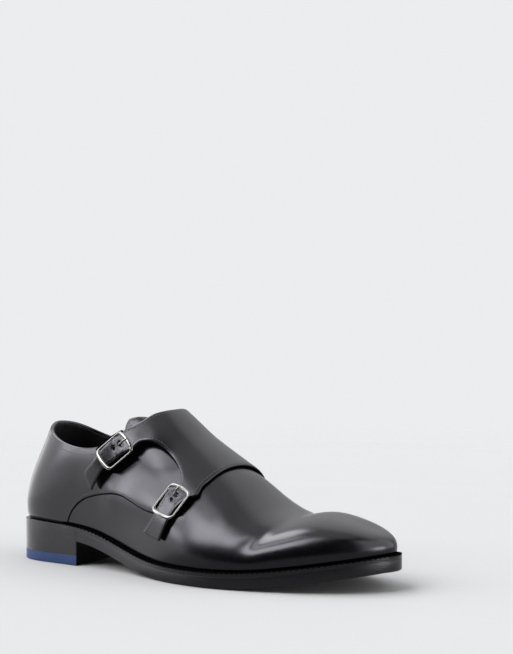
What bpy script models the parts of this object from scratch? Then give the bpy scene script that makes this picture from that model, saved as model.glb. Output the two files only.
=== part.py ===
"""Right double monk-strap shoe: last surface, bottom pieces, strap saddle and two buckles.

The toe points along +X, the inner (medial) side of the foot is +Y and +Z is up. The shoe stands
on z = 0. Everything of leather follows one surface, the last, which is a row of ribs that rise
from the feather edge, where upper and sole meet, to the top line along the instep.
Sizes are in millimetres up to the point where a mesh is made.
"""
import math

import bmesh
import bpy
import numpy as np
from mathutils import Matrix
from mathutils.geometry import delaunay_2d_cdt

COLLECTION = "monk_strap_shoe"
MM = 0.001

# ---- the last, the feather edge and the chart --------------------------------------------------
# Driving sizes, millimetres
FIT_GAP = 0.3           # left between pieces that touch
SOLE_EDGE = 9.4         # welt and outsole together at the edge
WELT_HEIGHT = 2.6       # how deep the upper sits behind the welt
WELT_START = 54.0       # the welt runs out here, at the heel seat
WELT_RAMP = 26.0        # length over which it grows to full height
EDGE_WIDTH = 3.2        # sole edge beyond the upper, round the forefoot
SEAT_WIDTH = 2.4        # sole edge beyond the upper, round the heel seat
UPPER_WALL = 2.0        # leather and lining together

# The last, one row for each rib from the heel back to the toe tip:
#  foot:  x, y on the outer side, y on the inner side, z of the feather edge
#  top:   x, y of the middle, half gap between the two sides, z of the top line
#  shape: outward lean at the foot on the outer and inner side (degrees), pull at the foot,
#         inward lean on arriving at the top (degrees, 90 is level), pull at the top
#  edge:  height of the collar or throat edge, above the top line where the vamp is closed
RIBS = (
    (9.0, 0.0, 0.0, 27.5, 29.0, 0.0, 0.0, 106.0, 16, 16, 0.32, 11, 0.36, 92.6),
    (13.5, -17.5, 17.0, 27.6, 32.5, 0.0, 10.0, 105.0, 13, 13, 0.33, 10, 0.36, 91.2),
    (28.0, -28.5, 27.5, 28.0, 40.5, 0.0, 17.5, 103.0, 8, 8, 0.34, 16, 0.38, 86.8),
    (52.0, -31.0, 29.0, 26.9, 58.0, 0.0, 20.0, 104.0, 4, 3, 0.34, 28, 0.38, 80.1),
    (80.0, -32.0, 27.5, 24.2, 82.0, 0.5, 13.0, 116.0, 5, 7, 0.35, 42, 0.38, 77.6),
    (108.0, -35.5, 26.5, 17.0, 108.0, 1.0, 1.6, 113.4, 7, 10, 0.36, 82, 0.30, 85.6),
    (135.0, -42.5, 29.5, 11.0, 135.0, 2.0, 0.0, 95.8, 9, 10, 0.36, 90, 0.34, 92.0),
    (162.0, -50.0, 37.5, 9.4, 162.0, 3.0, 0.0, 78.2, 10, 8, 0.35, 90, 0.38, 86.0),
    (190.0, -52.0, 44.5, 9.4, 190.0, 3.5, 0.0, 60.7, 10, 6, 0.35, 90, 0.40, 72.0),
    (217.0, -47.5, 45.5, 10.8, 217.0, 4.0, 0.0, 43.9, 10, 6, 0.37, 90, 0.42, 60.0),
    (242.0, -40.0, 40.0, 13.9, 240.0, 4.0, 0.0, 43.2, 12, 8, 0.41, 90, 0.46, 56.0),
    (263.0, -30.2, 31.0, 17.1, 256.0, 3.0, 0.0, 42.0, 13, 10, 0.44, 90, 0.50, 55.0),
    (280.5, -16.5, 18.5, 19.9, 265.0, 2.0, 0.0, 39.7, 12, 12, 0.46, 90, 0.54, 54.0),
    (289.0, 1.5, 1.5, 21.3, 269.0, 1.5, 0.0, 38.2, 10, 10, 0.46, 90, 0.56, 54.0),
)
LAST_RIB = len(RIBS) - 1
ROUND = 2 * LAST_RIB    # positions once round the shoe: outer side out, inner side back
TIP_REACH = 0.8         # positions either side of the toe tip that share the ridge's last slope


def round_the_shoe():
    """The ribs as one closed row: outer side from heel to toe, inner side from toe to heel."""
    outer = [(r[0], r[1], *r[3:5], r[5] - r[6], *r[7:9], *r[10:]) for r in RIBS]
    inner = [(r[0], r[2], *r[3:5], r[5] + r[6], r[7], r[9], *r[10:]) for r in RIBS]
    return np.array(outer + inner[-2:0:-1], float)


def spline_bends(rows):
    """Second derivatives of the closed cubic spline through evenly spaced rows."""
    count = len(rows)
    eye = np.eye(count)
    system = 4 * eye + np.roll(eye, 1, axis=1) + np.roll(eye, -1, axis=1)
    ahead, behind = np.roll(rows, -1, axis=0), np.roll(rows, 1, axis=0)
    return np.linalg.solve(system, 6 * (ahead - 2 * rows + behind))


ROWS = round_the_shoe()
BENDS = spline_bends(ROWS)


def row_at(k):
    """Interpolated row, and its rate of change, at positions k round the shoe."""
    k = np.atleast_1d(np.asarray(k, float)) % ROUND
    low = np.floor(k).astype(int) % ROUND
    high = (low + 1) % ROUND
    b = (k - np.floor(k))[:, None]
    a = 1.0 - b
    row = a * ROWS[low] + b * ROWS[high] + ((a**3 - a) * BENDS[low] + (b**3 - b) * BENDS[high]) / 6
    rate = ROWS[high] - ROWS[low] + ((1 - 3 * a**2) * BENDS[low] + (3 * b**2 - 1) * BENDS[high]) / 6
    return row, rate


def outward(rate):
    """Unit normals of the feather edge in plan, away from the foot."""
    along = rate[:, :2] / np.linalg.norm(rate[:, :2], axis=1)[:, None]
    return np.stack([along[:, 1], -along[:, 0]], axis=1)


def rib_controls(k):
    """Four control points of the rib at each position k, from the feather edge to the top line."""
    row, rate = row_at(k)
    foot_x, foot_y, foot_z, top_x, top_y, top_z, lean, foot_pull, arrive, top_pull, _ = row.T
    gap = np.interp(np.where(k % ROUND > LAST_RIB, ROUND - k % ROUND, k % ROUND),
                    (0, 5.5, 6), (1, 1, 0))
    middle = (top_y + row_at(ROUND - k)[0][:, 4]) / 2
    top_y = middle + (top_y - middle) * gap
    foot = np.stack([foot_x, foot_y, foot_z], axis=1)
    top = np.stack([top_x, top_y, top_z], axis=1)
    reach = np.linalg.norm(top - foot, axis=1)[:, None]
    inward = (top - foot)[:, :2]
    inward = inward / np.maximum(np.linalg.norm(inward, axis=1), 1e-6)[:, None]
    lean, arrive = np.radians(lean), np.radians(np.clip(arrive, 0, 90))
    rise = np.concatenate([outward(rate) * np.sin(lean)[:, None], np.cos(lean)[:, None]], axis=1)
    near_tip = np.abs(k - LAST_RIB) < TIP_REACH
    ridge = row_at(np.where(near_tip, LAST_RIB - TIP_REACH, k))[1]
    along = np.where(np.abs(ridge[:, 3]) > 0.3, ridge[:, 3], 1e9)
    slope = ridge[:, 5] / along
    on_ridge = np.clip((np.degrees(arrive) - 40) / 50, 0, 1)
    climb = np.cos(arrive) + np.sin(arrive) * inward[:, 0] * slope * on_ridge
    over = np.concatenate([inward * np.sin(arrive)[:, None], climb[:, None]], axis=1)
    return foot, foot + rise * reach * foot_pull[:, None], top - over * reach * top_pull[:, None], top


def on_rib(k, v):
    """Points of the last: v is 0 at the feather edge and 1 at the top line."""
    k, v = np.broadcast_arrays(np.atleast_1d(np.asarray(k, float)), np.asarray(v, float))
    foot, low, high, top = rib_controls(k.ravel())
    v = v.ravel()[:, None]
    points = (1-v)**3 * foot + 3*(1-v)**2 * v * low + 3*(1-v) * v**2 * high + v**3 * top
    return points.reshape(k.shape + (3,))


# The chart of the last: x of the rib's foot, and girth from the ridge, positive on the outer side.
# Points and outward normals are worked out once at every millimetre and read between.
RIB_STEPS = 48
CHART_X = np.arange(10.0, 289.0)
CHART_GIRTH = np.arange(-112.0, 113.0)


def rib_lines(k):
    """Each rib from the middle of the top line down to its foot, with the girth at every step."""
    line = on_rib(k[:, None], np.linspace(1, 0, RIB_STEPS)[None, :])
    middle = (line[:, 0] + on_rib(ROUND - k, 1.0)) / 2
    line = np.concatenate([middle[:, None, :], line], axis=1)
    steps = np.linalg.norm(np.diff(line, axis=1), axis=2)
    return line, np.concatenate([np.zeros((len(k), 1)), np.cumsum(steps, axis=1)], axis=1)


def chart_tables():
    """Points and outward normals of the last over the chart."""
    places = np.linspace(0, LAST_RIB, 40 * LAST_RIB + 1)
    k = np.interp(CHART_X, on_rib(places, 0.0)[:, 0], places)
    points = np.zeros((len(CHART_X), len(CHART_GIRTH), 3))
    for side, rib in ((CHART_GIRTH >= 0, k), (CHART_GIRTH < 0, ROUND - k)):
        lines, lengths = rib_lines(rib)
        for i, (line, length) in enumerate(zip(lines, lengths)):
            for axis in range(3):
                points[i, side, axis] = np.interp(np.abs(CHART_GIRTH[side]), length, line[:, axis])
    normals = np.cross(np.gradient(points, axis=1), np.gradient(points, axis=0))
    size = np.linalg.norm(normals, axis=2, keepdims=True)
    return points, normals / np.maximum(size, 1e-9)


LAST_POINTS, LAST_NORMALS = chart_tables()


def read_chart(table, x, girth):
    """Values of a chart table between its millimetres."""
    x, girth = np.broadcast_arrays(np.asarray(x, float), np.asarray(girth, float))
    across = np.clip(x - CHART_X[0], 0, len(CHART_X) - 1.001)
    down = np.clip(girth - CHART_GIRTH[0], 0, len(CHART_GIRTH) - 1.001)
    i, j = np.floor(across).astype(int), np.floor(down).astype(int)
    a, b = (across - i)[..., None], (down - j)[..., None]
    near = table[i, j] * (1 - a) + table[i + 1, j] * a
    far = table[i, j + 1] * (1 - a) + table[i + 1, j + 1] * a
    return near * (1 - b) + far * b


def off_last(x, girth, height):
    """Points at a height above the last, along its outward normal."""
    normal = read_chart(LAST_NORMALS, x, girth)
    normal /= np.linalg.norm(normal, axis=-1, keepdims=True)
    return read_chart(LAST_POINTS, x, girth) + normal * np.asarray(height, float)[..., None]


def ease(value, start, end):
    """0 before start, 1 after end, smooth between."""
    t = np.clip((np.asarray(value, float) - start) / (end - start), 0, 1)
    return t * t * (3 - 2 * t)


def stand_off(x, girth):
    """Height of the saddle's underside above the last: low inside, bridging under the straps."""
    ridge = (1.9 - 1.6 * ease(x, 126, 152)) * ease(girth, -40, -5)
    upper_strap = 3.2 * ease(girth, 18, 50) * (1 - ease(x, 125, 145))
    lower_strap = 1.85 * ease(girth, 30, 58) * ease(x, 125, 145)
    tail = (1.6 - 0.7 * ease(x, 125, 145)) * ease(girth, 62, 84)
    return FIT_GAP + ridge + upper_strap + lower_strap - tail


def strap_frame(x, girth, towards):
    """Turns places on a strap, along it and across it in real millimetres, into chart places."""
    by_x = (read_chart(LAST_POINTS, x + 4, girth) - read_chart(LAST_POINTS, x - 4, girth)) / 8
    by_girth = (read_chart(LAST_POINTS, x, girth + 4) - read_chart(LAST_POINTS, x, girth - 4)) / 8
    normal = np.cross(by_girth, by_x)
    along = by_x * towards[0] + by_girth * towards[1]
    along /= np.linalg.norm(along)
    across = np.cross(normal / np.linalg.norm(normal), along)
    to_chart = np.linalg.pinv(np.stack([by_x, by_girth], axis=1)) @ np.stack([along, across], axis=1)
    return lambda place: np.array((x, girth)) + np.asarray(place, float) @ to_chart.T


# ---- sizes of the pieces -----------------------------------------------------------------------
# Sole and heel sizes, millimetres
SOLE_CHAMFER = 0.7
LIFT_HEIGHT = 6.5
HEEL_BREAST = 70.3
BREAST_HOLLOW = 4.0
HEEL_TAPER = 1.2
INSOLE_INSET = 3.4
INSOLE_RISE = 2.4
MARGIN = 0.4            # least depth of the upper's lower edge behind the sole edge
BLOCK_INSET = 0.5       # heel block inside the sole edge
TUCK = 0.35             # how far the upper's lower edge turns inwards, for each mm of its depth

# Upper's mesh
UPPER_ROWS = 11
UPPER_COLUMNS = 88
CLOSED_BELOW = 0.8      # shortest girth at the top edge, mm; below it the vamp is closed

# Saddle: the flap over the instep with its two straps
SADDLE_THICKNESS = 1.8
STRAP_HALF_WIDTH = 6.9
CROWN = 0.8             # rise of a strap over its buckle's centre bar
HOLE_RADIUS = 1.7
HOLE_DEPTH = (-2.5, 7.0)        # reach of the hole cutter below and above the strap's underside
TONGUE_THICKNESS = 1.8
TONGUE_SAG = 4.5        # how far the tongue's free end sinks behind the saddle

# Buckles, one row each: place of the centre on the chart (x, girth) and the way the strap runs
BUCKLES = {
    "upper": (104.2, 53.0, -0.68, 0.733),
    "lower": (158.0, 59.0, -0.423, 0.906),
}
BUCKLE_LENGTH = 22.6
BUCKLE_WIDTH = 18.4
BAR_PLACE = -2.5        # the bar that carries the prong, from the buckle's middle towards the toe
PRONG_PLACE = -3.4      # where the prong comes up through the strap
END_BAR_RADIUS = 1.2
SIDE_BAR_RADIUS = 0.7
CORNER_BAR_RADIUS = 0.95
CENTRE_BAR_RADIUS = 0.6
RING_CORNER = 2.2
PRONG_RADIUS = 0.7
PRONG_TIP_RADIUS = 0.5
TAB_HALF_WIDTH = 5.6
TAB_LENGTH = 13.0       # from the buckle's middle towards the strap's end
TAB_THICKNESS = 1.2


def plan_z(x):
    """Height of the feather edge above the floor at a length x."""
    k = np.linspace(0, LAST_RIB, 40 * LAST_RIB + 1)
    foot = on_rib(k, 0.0)
    return np.interp(x, foot[:, 0], foot[:, 2])


def welt_depth(x):
    """How far the upper's lower edge goes down behind the welt."""
    return np.maximum(MARGIN, WELT_HEIGHT * ease(x, WELT_START, WELT_START + WELT_RAMP))


def sole_top(x):
    return plan_z(x) - welt_depth(x) - FIT_GAP


def sole_bottom(x):
    return np.maximum(0.0, plan_z(x) - SOLE_EDGE)


def beyond_feather(k, width):
    """Plan points at a distance outside the feather edge."""
    row, rate = row_at(k)
    return row[:, :2] + outward(rate) * np.broadcast_to(width, len(row))[:, None]


def edge_line(k, inset=0.0):
    """Plan line of the sole edge, narrower round the heel seat."""
    x = row_at(k)[0][:, 0]
    return beyond_feather(k, SEAT_WIDTH + (EDGE_WIDTH - SEAT_WIDTH) * ease(x, 45, 80) - inset)


def place_of(x):
    """Position round the shoe, on the outer side, of the feather edge at a length x."""
    k = np.linspace(0, LAST_RIB, 40 * LAST_RIB + 1)
    return float(np.interp(x, on_rib(k, 0.0)[:, 0], k))


def through(points, spacing):
    """Points at a spacing along a smooth curve through a few given ones, both ends included."""
    points = np.array(points, float)
    reach = np.concatenate([[0], np.cumsum(np.linalg.norm(np.diff(points, axis=0), axis=1))])
    slope = np.gradient(points, reach, axis=0)
    t = np.linspace(0, reach[-1], max(2, round(reach[-1] / spacing) + 1))
    i = np.clip(np.searchsorted(reach, t, side="right") - 1, 0, len(points) - 2)
    step = (reach[i + 1] - reach[i])[:, None]
    s = (t - reach[i])[:, None] / step
    start = (2 * s**3 - 3 * s**2 + 1) * points[i] + (s**3 - 2 * s**2 + s) * step * slope[i]
    return start + (3 * s**2 - 2 * s**3) * points[i + 1] + (s**3 - s**2) * step * slope[i + 1]


def fill_outline(outline, spacing):
    """Points and triangles that fill a closed outline: its own points first, then a grid inside."""
    low, high = outline.min(axis=0), outline.max(axis=0)
    grid = np.stack(np.meshgrid(np.arange(low[0] + spacing / 2, high[0], spacing),
                                np.arange(low[1] + spacing / 2, high[1], spacing)), axis=-1)
    grid = grid.reshape(-1, 2)
    ahead = np.roll(outline, -1, axis=0) - outline
    offset = grid[:, None] - outline[None]
    t = np.clip((offset * ahead).sum(axis=2) / (ahead**2).sum(axis=1), 0, 1)
    clear = np.linalg.norm(offset - t[..., None] * ahead, axis=2).min(axis=1) > 0.45 * spacing
    points = np.concatenate([outline, grid[clear]])
    found = delaunay_2d_cdt([tuple(p) for p in points], [], [list(range(len(outline)))], 1, 1e-5)
    triangles = [tuple(found[3][v][0] for v in face) for face in found[2]]
    used = sorted({v for face in triangles for v in face})
    order = {v: i for i, v in enumerate(used)}
    return points[used], [tuple(order[v] for v in face) for face in triangles]


def collection(name, parent):
    made = bpy.data.collections.new(name)
    parent.children.link(made)
    return made


def material(name, colour, metallic, roughness):
    made = bpy.data.materials.new(name)
    made.use_nodes = True
    shader = made.node_tree.nodes["Principled BSDF"]
    shader.inputs["Base Color"].default_value = (*colour, 1.0)
    shader.inputs["Metallic"].default_value = metallic
    shader.inputs["Roughness"].default_value = roughness
    return made


def mesh_object(name, vertices, faces, group):
    """Named object from points in millimetres and faces, normals outward."""
    mesh = bpy.data.meshes.new(name)
    mesh.from_pydata([tuple(v) for v in np.asarray(vertices) * MM], [], faces)
    shape = bmesh.new()
    shape.from_mesh(mesh)
    bmesh.ops.remove_doubles(shape, verts=shape.verts, dist=0.00001)
    bmesh.ops.recalc_face_normals(shape, faces=shape.faces)
    shape.to_mesh(mesh)
    shape.free()
    made = bpy.data.objects.new(name, mesh)
    group.objects.link(made)
    return made


def layered(name, top, bottom, triangles, group):
    """Closed solid between two layers of points that share their triangles."""
    count = len(top)
    sides = {}
    for face in triangles:
        for a, b in zip(face, face[1:] + face[:1]):
            sides[(a, b)] = sides.pop((b, a), None) is None
    rim = [pair for pair, alone in sides.items() if alone]
    faces = list(triangles)
    faces += [tuple(v + count for v in reversed(face)) for face in triangles]
    faces += [(b, a, a + count, b + count) for a, b in rim]
    return mesh_object(name, np.concatenate([top, bottom]), faces, group)


def slab(name, outline, low, high, spacing, group):
    """Solid with a plan outline whose underside and top follow heights along the shoe."""
    points, triangles = fill_outline(outline, spacing)
    top = np.column_stack([points, high(points[:, 0])])
    bottom = np.column_stack([points, low(points[:, 0])])
    return layered(name, top, bottom, triangles, group)


def panel(name, outline, under, thickness, spacing, group):
    """Solid that lies over the last: a chart outline, lifted by its underside and thickness."""
    points, triangles = fill_outline(outline, spacing)
    height = under(points[:, 0], points[:, 1])
    top = off_last(points[:, 0], points[:, 1], height + thickness)
    bottom = off_last(points[:, 0], points[:, 1], height)
    return layered(name, top, bottom, triangles, group)


def chamfer(made, width, angle=50.0):
    """Bevel on the sharp edges, then made permanent."""
    bevel = made.modifiers.new("chamfer", "BEVEL")
    bevel.width = width * MM
    bevel.segments = 1
    bevel.limit_method = "ANGLE"
    bevel.angle_limit = math.radians(angle)
    return made


def tube(name, points, radii, group, closed=False):
    """Round bar through points in millimetres, as a mesh with closed ends."""
    curve = bpy.data.curves.new(name, "CURVE")
    curve.dimensions = "3D"
    curve.bevel_depth = MM
    curve.bevel_resolution = 1
    curve.use_fill_caps = True
    line = curve.splines.new("POLY")
    line.points.add(len(points) - 1)
    for place, point, radius in zip(line.points, points, np.broadcast_to(radii, len(points))):
        place.co = (*(point * MM), 1.0)
        place.radius = radius
    line.use_cyclic_u = closed
    made = bpy.data.objects.new(name, curve)
    group.objects.link(made)
    bpy.context.view_layer.update()
    mesh = bpy.data.meshes.new_from_object(made.evaluated_get(bpy.context.evaluated_depsgraph_get()))
    bpy.data.objects.remove(made)
    bpy.data.curves.remove(curve)
    shape = bmesh.new()
    shape.from_mesh(mesh)
    bmesh.ops.remove_doubles(shape, verts=shape.verts, dist=0.00001)
    bmesh.ops.recalc_face_normals(shape, faces=shape.faces)
    shape.to_mesh(mesh)
    shape.free()
    mesh.name = name
    solid = bpy.data.objects.new(name, mesh)
    group.objects.link(solid)
    return solid


def combine(made, other, operation):
    step = made.modifiers.new(operation.lower(), "BOOLEAN")
    step.operation = operation
    step.solver = "EXACT"
    step.object = other


# ---- bottom ------------------------------------------------------------------------------------
def sole_outline(step):
    k = np.arange(0, ROUND, step)
    return edge_line(k)


def heel_outline(inset, step):
    """The heel seat's outline as far as the breast, which is hollowed."""
    end = place_of(HEEL_BREAST)
    k = np.linspace(-end, end, round(2 * end / step) + 1)
    seat = edge_line(k, inset)
    across = np.linspace(0, 1, 9)[1:-1, None]
    breast = seat[-1] + (seat[0] - seat[-1]) * across
    breast[:, 0] -= BREAST_HOLLOW * (1 - (2 * across[:, 0] - 1) ** 2)
    return np.concatenate([seat, breast])


def build_bottom(group):
    outsole = slab("outsole", sole_outline(0.25), sole_bottom, sole_top, 7.5, group)
    heel = heel_outline(BLOCK_INSET, 0.25)
    block = slab("heel_block", heel, lambda x: 0 * x + LIFT_HEIGHT + FIT_GAP,
                 lambda x: sole_bottom(x) - FIT_GAP, 9.0, group)
    lift = slab("top_lift", heel_outline(HEEL_TAPER, 0.25), lambda x: 0 * x,
                lambda x: 0 * x + LIFT_HEIGHT, 12.0, group)
    inside = slab("insole", beyond_feather(np.arange(0, ROUND, 0.4), -INSOLE_INSET),
                  lambda x: sole_top(x) + 2 * FIT_GAP, lambda x: plan_z(x) + INSOLE_RISE, 9.0, group)
    for made in (outsole, block, lift):
        chamfer(made, SOLE_CHAMFER)
    return outsole, block, lift, inside


def build_welt(group):
    """Strip round the forefoot, outside the upper, from one side of the heel seat to the other."""
    start = place_of(WELT_START)
    k = np.linspace(start, ROUND - start, 93)
    rings = []
    for width, rise in ((None, 1), (FIT_GAP, 1), (FIT_GAP, 0), (None, 0)):
        plan = edge_line(k) if width is None else beyond_feather(k, width)
        z = plan_z(plan[:, 0]) - (1 - rise) * welt_depth(plan[:, 0])
        rings.append(np.column_stack([plan, z]))
    count = len(k)
    faces = [(0, count, 2 * count, 3 * count), tuple(n * count + count - 1 for n in (3, 2, 1, 0))]
    for ring in range(4):
        a, b = ring * count, (ring + 1) % 4 * count
        faces += [(a + n, a + n + 1, b + n + 1, b + n) for n in range(count - 1)]
    return mesh_object("welt", np.concatenate(rings), faces, group)


# ---- upper -------------------------------------------------------------------------------------
def build_upper(group):
    """Vamp and quarters in one wall, open at the collar, the throat and underneath."""
    k = np.arange(UPPER_COLUMNS) * ROUND / UPPER_COLUMNS
    lines, lengths = rib_lines(k)
    edge_height = row_at(k)[0][:, -1]
    cut = np.array([np.interp(z, line[::-1, 2], length[::-1])
                    for z, line, length in zip(edge_height, lines, lengths)])
    cut[cut < CLOSED_BELOW] = 0
    rings = []
    for t in np.linspace(0, 1, UPPER_ROWS):
        girth = cut * (1 - t) + lengths[:, -1] * t
        ring = [[np.interp(g, length, line[:, axis]) for axis in range(3)]
                for g, length, line in zip(girth, lengths, lines)]
        rings.append(np.array(ring))
    row, rate = row_at(k)
    depth = welt_depth(row[:, 0])
    foot = rings[-1].copy()
    foot[:, :2] -= outward(rate) * (TUCK * depth)[:, None]
    foot[:, 2] -= depth
    rings.append(foot)
    count = len(k)
    faces = []
    for ring in range(len(rings) - 1):
        for n in range(count):
            m = (n + 1) % count
            a, b = ring * count, (ring + 1) * count
            faces.append((a + n, a + m, b + m, b + n))
    vertices = np.concatenate(rings)
    made = closed_on_ridge("upper", vertices, faces, group)
    wall = made.modifiers.new("wall", "SOLIDIFY")
    wall.thickness = UPPER_WALL * MM
    wall.offset = -1.0
    wall.use_even_offset = True
    return made


def closed_on_ridge(name, vertices, faces, group):
    """Mesh object whose two sides are welded where they meet on the ridge."""
    made = mesh_object(name, vertices, faces, group)
    shape = bmesh.new()
    shape.from_mesh(made.data)
    bmesh.ops.remove_doubles(shape, verts=shape.verts, dist=0.00005)
    bmesh.ops.dissolve_degenerate(shape, edges=shape.edges, dist=0.00001)
    outside = max(shape.faces, key=lambda face: face.calc_center_median().x)
    bmesh.ops.recalc_face_normals(shape, faces=shape.faces)
    if outside.normal.x < 0:
        bmesh.ops.reverse_faces(shape, faces=shape.faces)
    shape.to_mesh(made.data)
    shape.free()
    return made


def build_tongue(group):
    """Leather flap under the throat, sagging a little at its free end behind the saddle."""
    top = [(103, 28), (106, 25.5), (111, 20), (115, 12), (117, 0)]
    side = [(103, 28), (102.2, 34), (104, 42), (112, 42), (122, 36), (140, 25), (160, 13)]
    front = [(160, 13), (163.5, 6), (164, 0)]
    half = [through(line, 6.0) for line in (top[::-1], side, front)]
    outer = np.concatenate([half[0][:-1], half[1][:-1], half[2]])
    inner = outer[-2:0:-1] * (1, -1)
    return panel("tongue", np.concatenate([outer, inner]), tongue_under, TONGUE_THICKNESS, 7.0, group)


def tongue_under(x, girth):
    """Height of the tongue's underside: below the upper, and sinking towards its free end."""
    sag = TONGUE_SAG * ease(126 - x, 0, 12) * (1 - ease(np.abs(girth), 8, 26))
    side = 0.6 * ease(np.abs(girth), 2, 12) + 0.5 * ease(-girth, 1, 9) * ease(x, 118, 134)
    return -(UPPER_WALL + FIT_GAP + TONGUE_THICKNESS + 0.9) - side - sag


# ---- saddle and buckles ------------------------------------------------------------------------
def buckle_frame(which):
    x, girth, *towards = BUCKLES[which]
    return strap_frame(x, girth, towards)


def saddle_outline(spacing):
    """The saddle's edge on the chart, with its two straps laid through the buckles.

    Points in pairs are chart places; the straps are given along and across their own run.
    """
    upper, lower = buckle_frame("upper"), buckle_frame("lower")
    half = STRAP_HALF_WIDTH
    rear = [upper((0, -half)), upper((-8, -7.2)), (108.5, 37.5), (113, 32.5), (117.2, 26), (120.3, 19),
            (123.6, 12.5), (126.2, 4), (126, -4), (123.4, -13), (117, -25.5), (106, -38), (92, -49)]
    seam = [(92, -49), (101, -55), (115, -60), (131, -66), (148, -77)]
    front = [(148, -77), (157, -68), (167, -56), (174.5, -42), (179, -29), (179.7, -14),
             (178.4, 1), (176.6, 14), (175.2, 24), (173.8, 33), (172.4, 39.5), lower((-13.5, 9.4)),
             lower((-8, 7.8)), lower((0, 7.1)), lower((7, 6.9)), lower((13, 7.2)), lower((23.3, 8))]
    end = [lower((23.3, 8)), lower((25.5, 0.5)), lower((27.7, -7.4))]
    gap = [lower((27.7, -7.4)), lower((15, -6.2)), lower((6, -half)), lower((-6, -half)),
           (158.8, 46.6), (156.2, 41.2), (151.8, 36.9), (146.8, 34.3), (141.7, 33.1), (136, 32.8),
           (130.6, 34), (125.8, 36.8), (121.9, 40.3), upper((-13.5, 6.8)), upper((-7, half)),
           upper((4, half)), upper((11, 6)), upper((19, 7.6)), upper((27.4, 9.6))]
    tail = [upper((27.4, 9.6)), upper((26.9, 5)), upper((26, 0)), upper((24.8, -3.2)),
            upper((16, -4.4)), upper((8, -6)), upper((0, -half))]
    return np.concatenate([through(line, spacing)[:-1] for line in (rear, seam, front, end, gap, tail)])


def strap_crown(x, girth):
    """The straps' rise over the buckles' centre bars."""
    rise = 0.0
    for at_x, at_girth, to_x, to_girth in BUCKLES.values():
        along = (x - at_x) * to_x + (girth - at_girth) * to_girth - BAR_PLACE
        across = (x - at_x) * to_girth - (girth - at_girth) * to_x
        rise = rise + np.exp(-along**2 / 22.0) * (1 - ease(np.abs(across), 10, 16))
    return CROWN * rise


def saddle_under(x, girth):
    return stand_off(x, girth) + strap_crown(x, girth)


def on_strap(frame, along, across, height):
    """Points over a strap: along and across it, and above the saddle's underside."""
    place = frame(np.stack(np.broadcast_arrays(along, across), axis=-1))
    level = stand_off(place[..., 0], place[..., 1])
    return off_last(place[..., 0], place[..., 1], level + height)


def build_saddle(group, cutters):
    """Flap over the instep, cut from between two offsets of the last, with two pierced straps."""
    saddle = panel("strap_saddle", saddle_outline(4.5), saddle_under, SADDLE_THICKNESS, 6.5, group)
    for which in BUCKLES:
        frame = buckle_frame(which)
        shaft = on_strap(frame, np.full(2, PRONG_PLACE), np.zeros(2), np.array(HOLE_DEPTH))
        cutter = tube(f"cut_hole_{which}", shaft, HOLE_RADIUS, cutters)
        combine(saddle, cutter, "DIFFERENCE")
    return saddle


def build_buckle(which, group, cutters):
    """Ring, centre bar under the strap and prong of one buckle."""
    frame = buckle_frame(which)
    end, side = BUCKLE_LENGTH / 2 - END_BAR_RADIUS, BUCKLE_WIDTH / 2 - SIDE_BAR_RADIUS
    level = SADDLE_THICKNESS + FIT_GAP + END_BAR_RADIUS
    quarter = np.radians(np.array([0, 45, 90]))
    corners = ((end, side, 0), (-end, side, 90), (-end, -side, 180), (end, -side, 270))
    along, across, radii = [], [], []
    for x, y, turn in corners:
        angle = quarter + math.radians(turn)
        along += list(x - math.copysign(RING_CORNER, x) + RING_CORNER * np.cos(angle))
        across += list(y - math.copysign(RING_CORNER, y) + RING_CORNER * np.sin(angle))
        thick = [END_BAR_RADIUS, CORNER_BAR_RADIUS, SIDE_BAR_RADIUS]
        radii += thick if turn in (0, 180) else thick[::-1]
        middle = [BAR_PLACE, math.copysign(side, y)] if turn in (0, 180) else [x, 0.0]
        along.append(middle[0])
        across.append(middle[1])
        radii.append(SIDE_BAR_RADIUS if turn in (0, 180) else END_BAR_RADIUS)
    rise = level + CROWN * np.exp(-(np.array(along) - BAR_PLACE) ** 2 / 30.0)
    ring = tube(f"{which}_buckle", on_strap(frame, np.array(along), np.array(across), rise),
                radii, group, closed=True)
    top, low = level + CROWN, CROWN - FIT_GAP - CENTRE_BAR_RADIUS
    post = on_strap(frame, np.full(4, BAR_PLACE), np.array([-side, -side, side, side]),
                    np.array([top, low, low, top]))
    bar = tube(f"bar_{which}", post, CENTRE_BAR_RADIUS, cutters)
    combine(ring, bar, "UNION")
    over = SADDLE_THICKNESS + FIT_GAP + PRONG_RADIUS
    rest = level + END_BAR_RADIUS + FIT_GAP + PRONG_RADIUS
    run = np.array([(PRONG_PLACE + 0.3, CROWN + FIT_GAP), (PRONG_PLACE, over + 0.8),
                    (PRONG_PLACE - 1.2, over + 1.3), (-end + 1.6, rest - 0.1),
                    (-end - 0.4, rest + 0.1), (-end - 1.4, rest - 0.3)])
    tube(f"{which}_prong", on_strap(frame, run[:, 0], np.zeros(len(run)), run[:, 1]),
         [PRONG_RADIUS] * (len(run) - 1) + [PRONG_TIP_RADIUS], group)
    return ring


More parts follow.
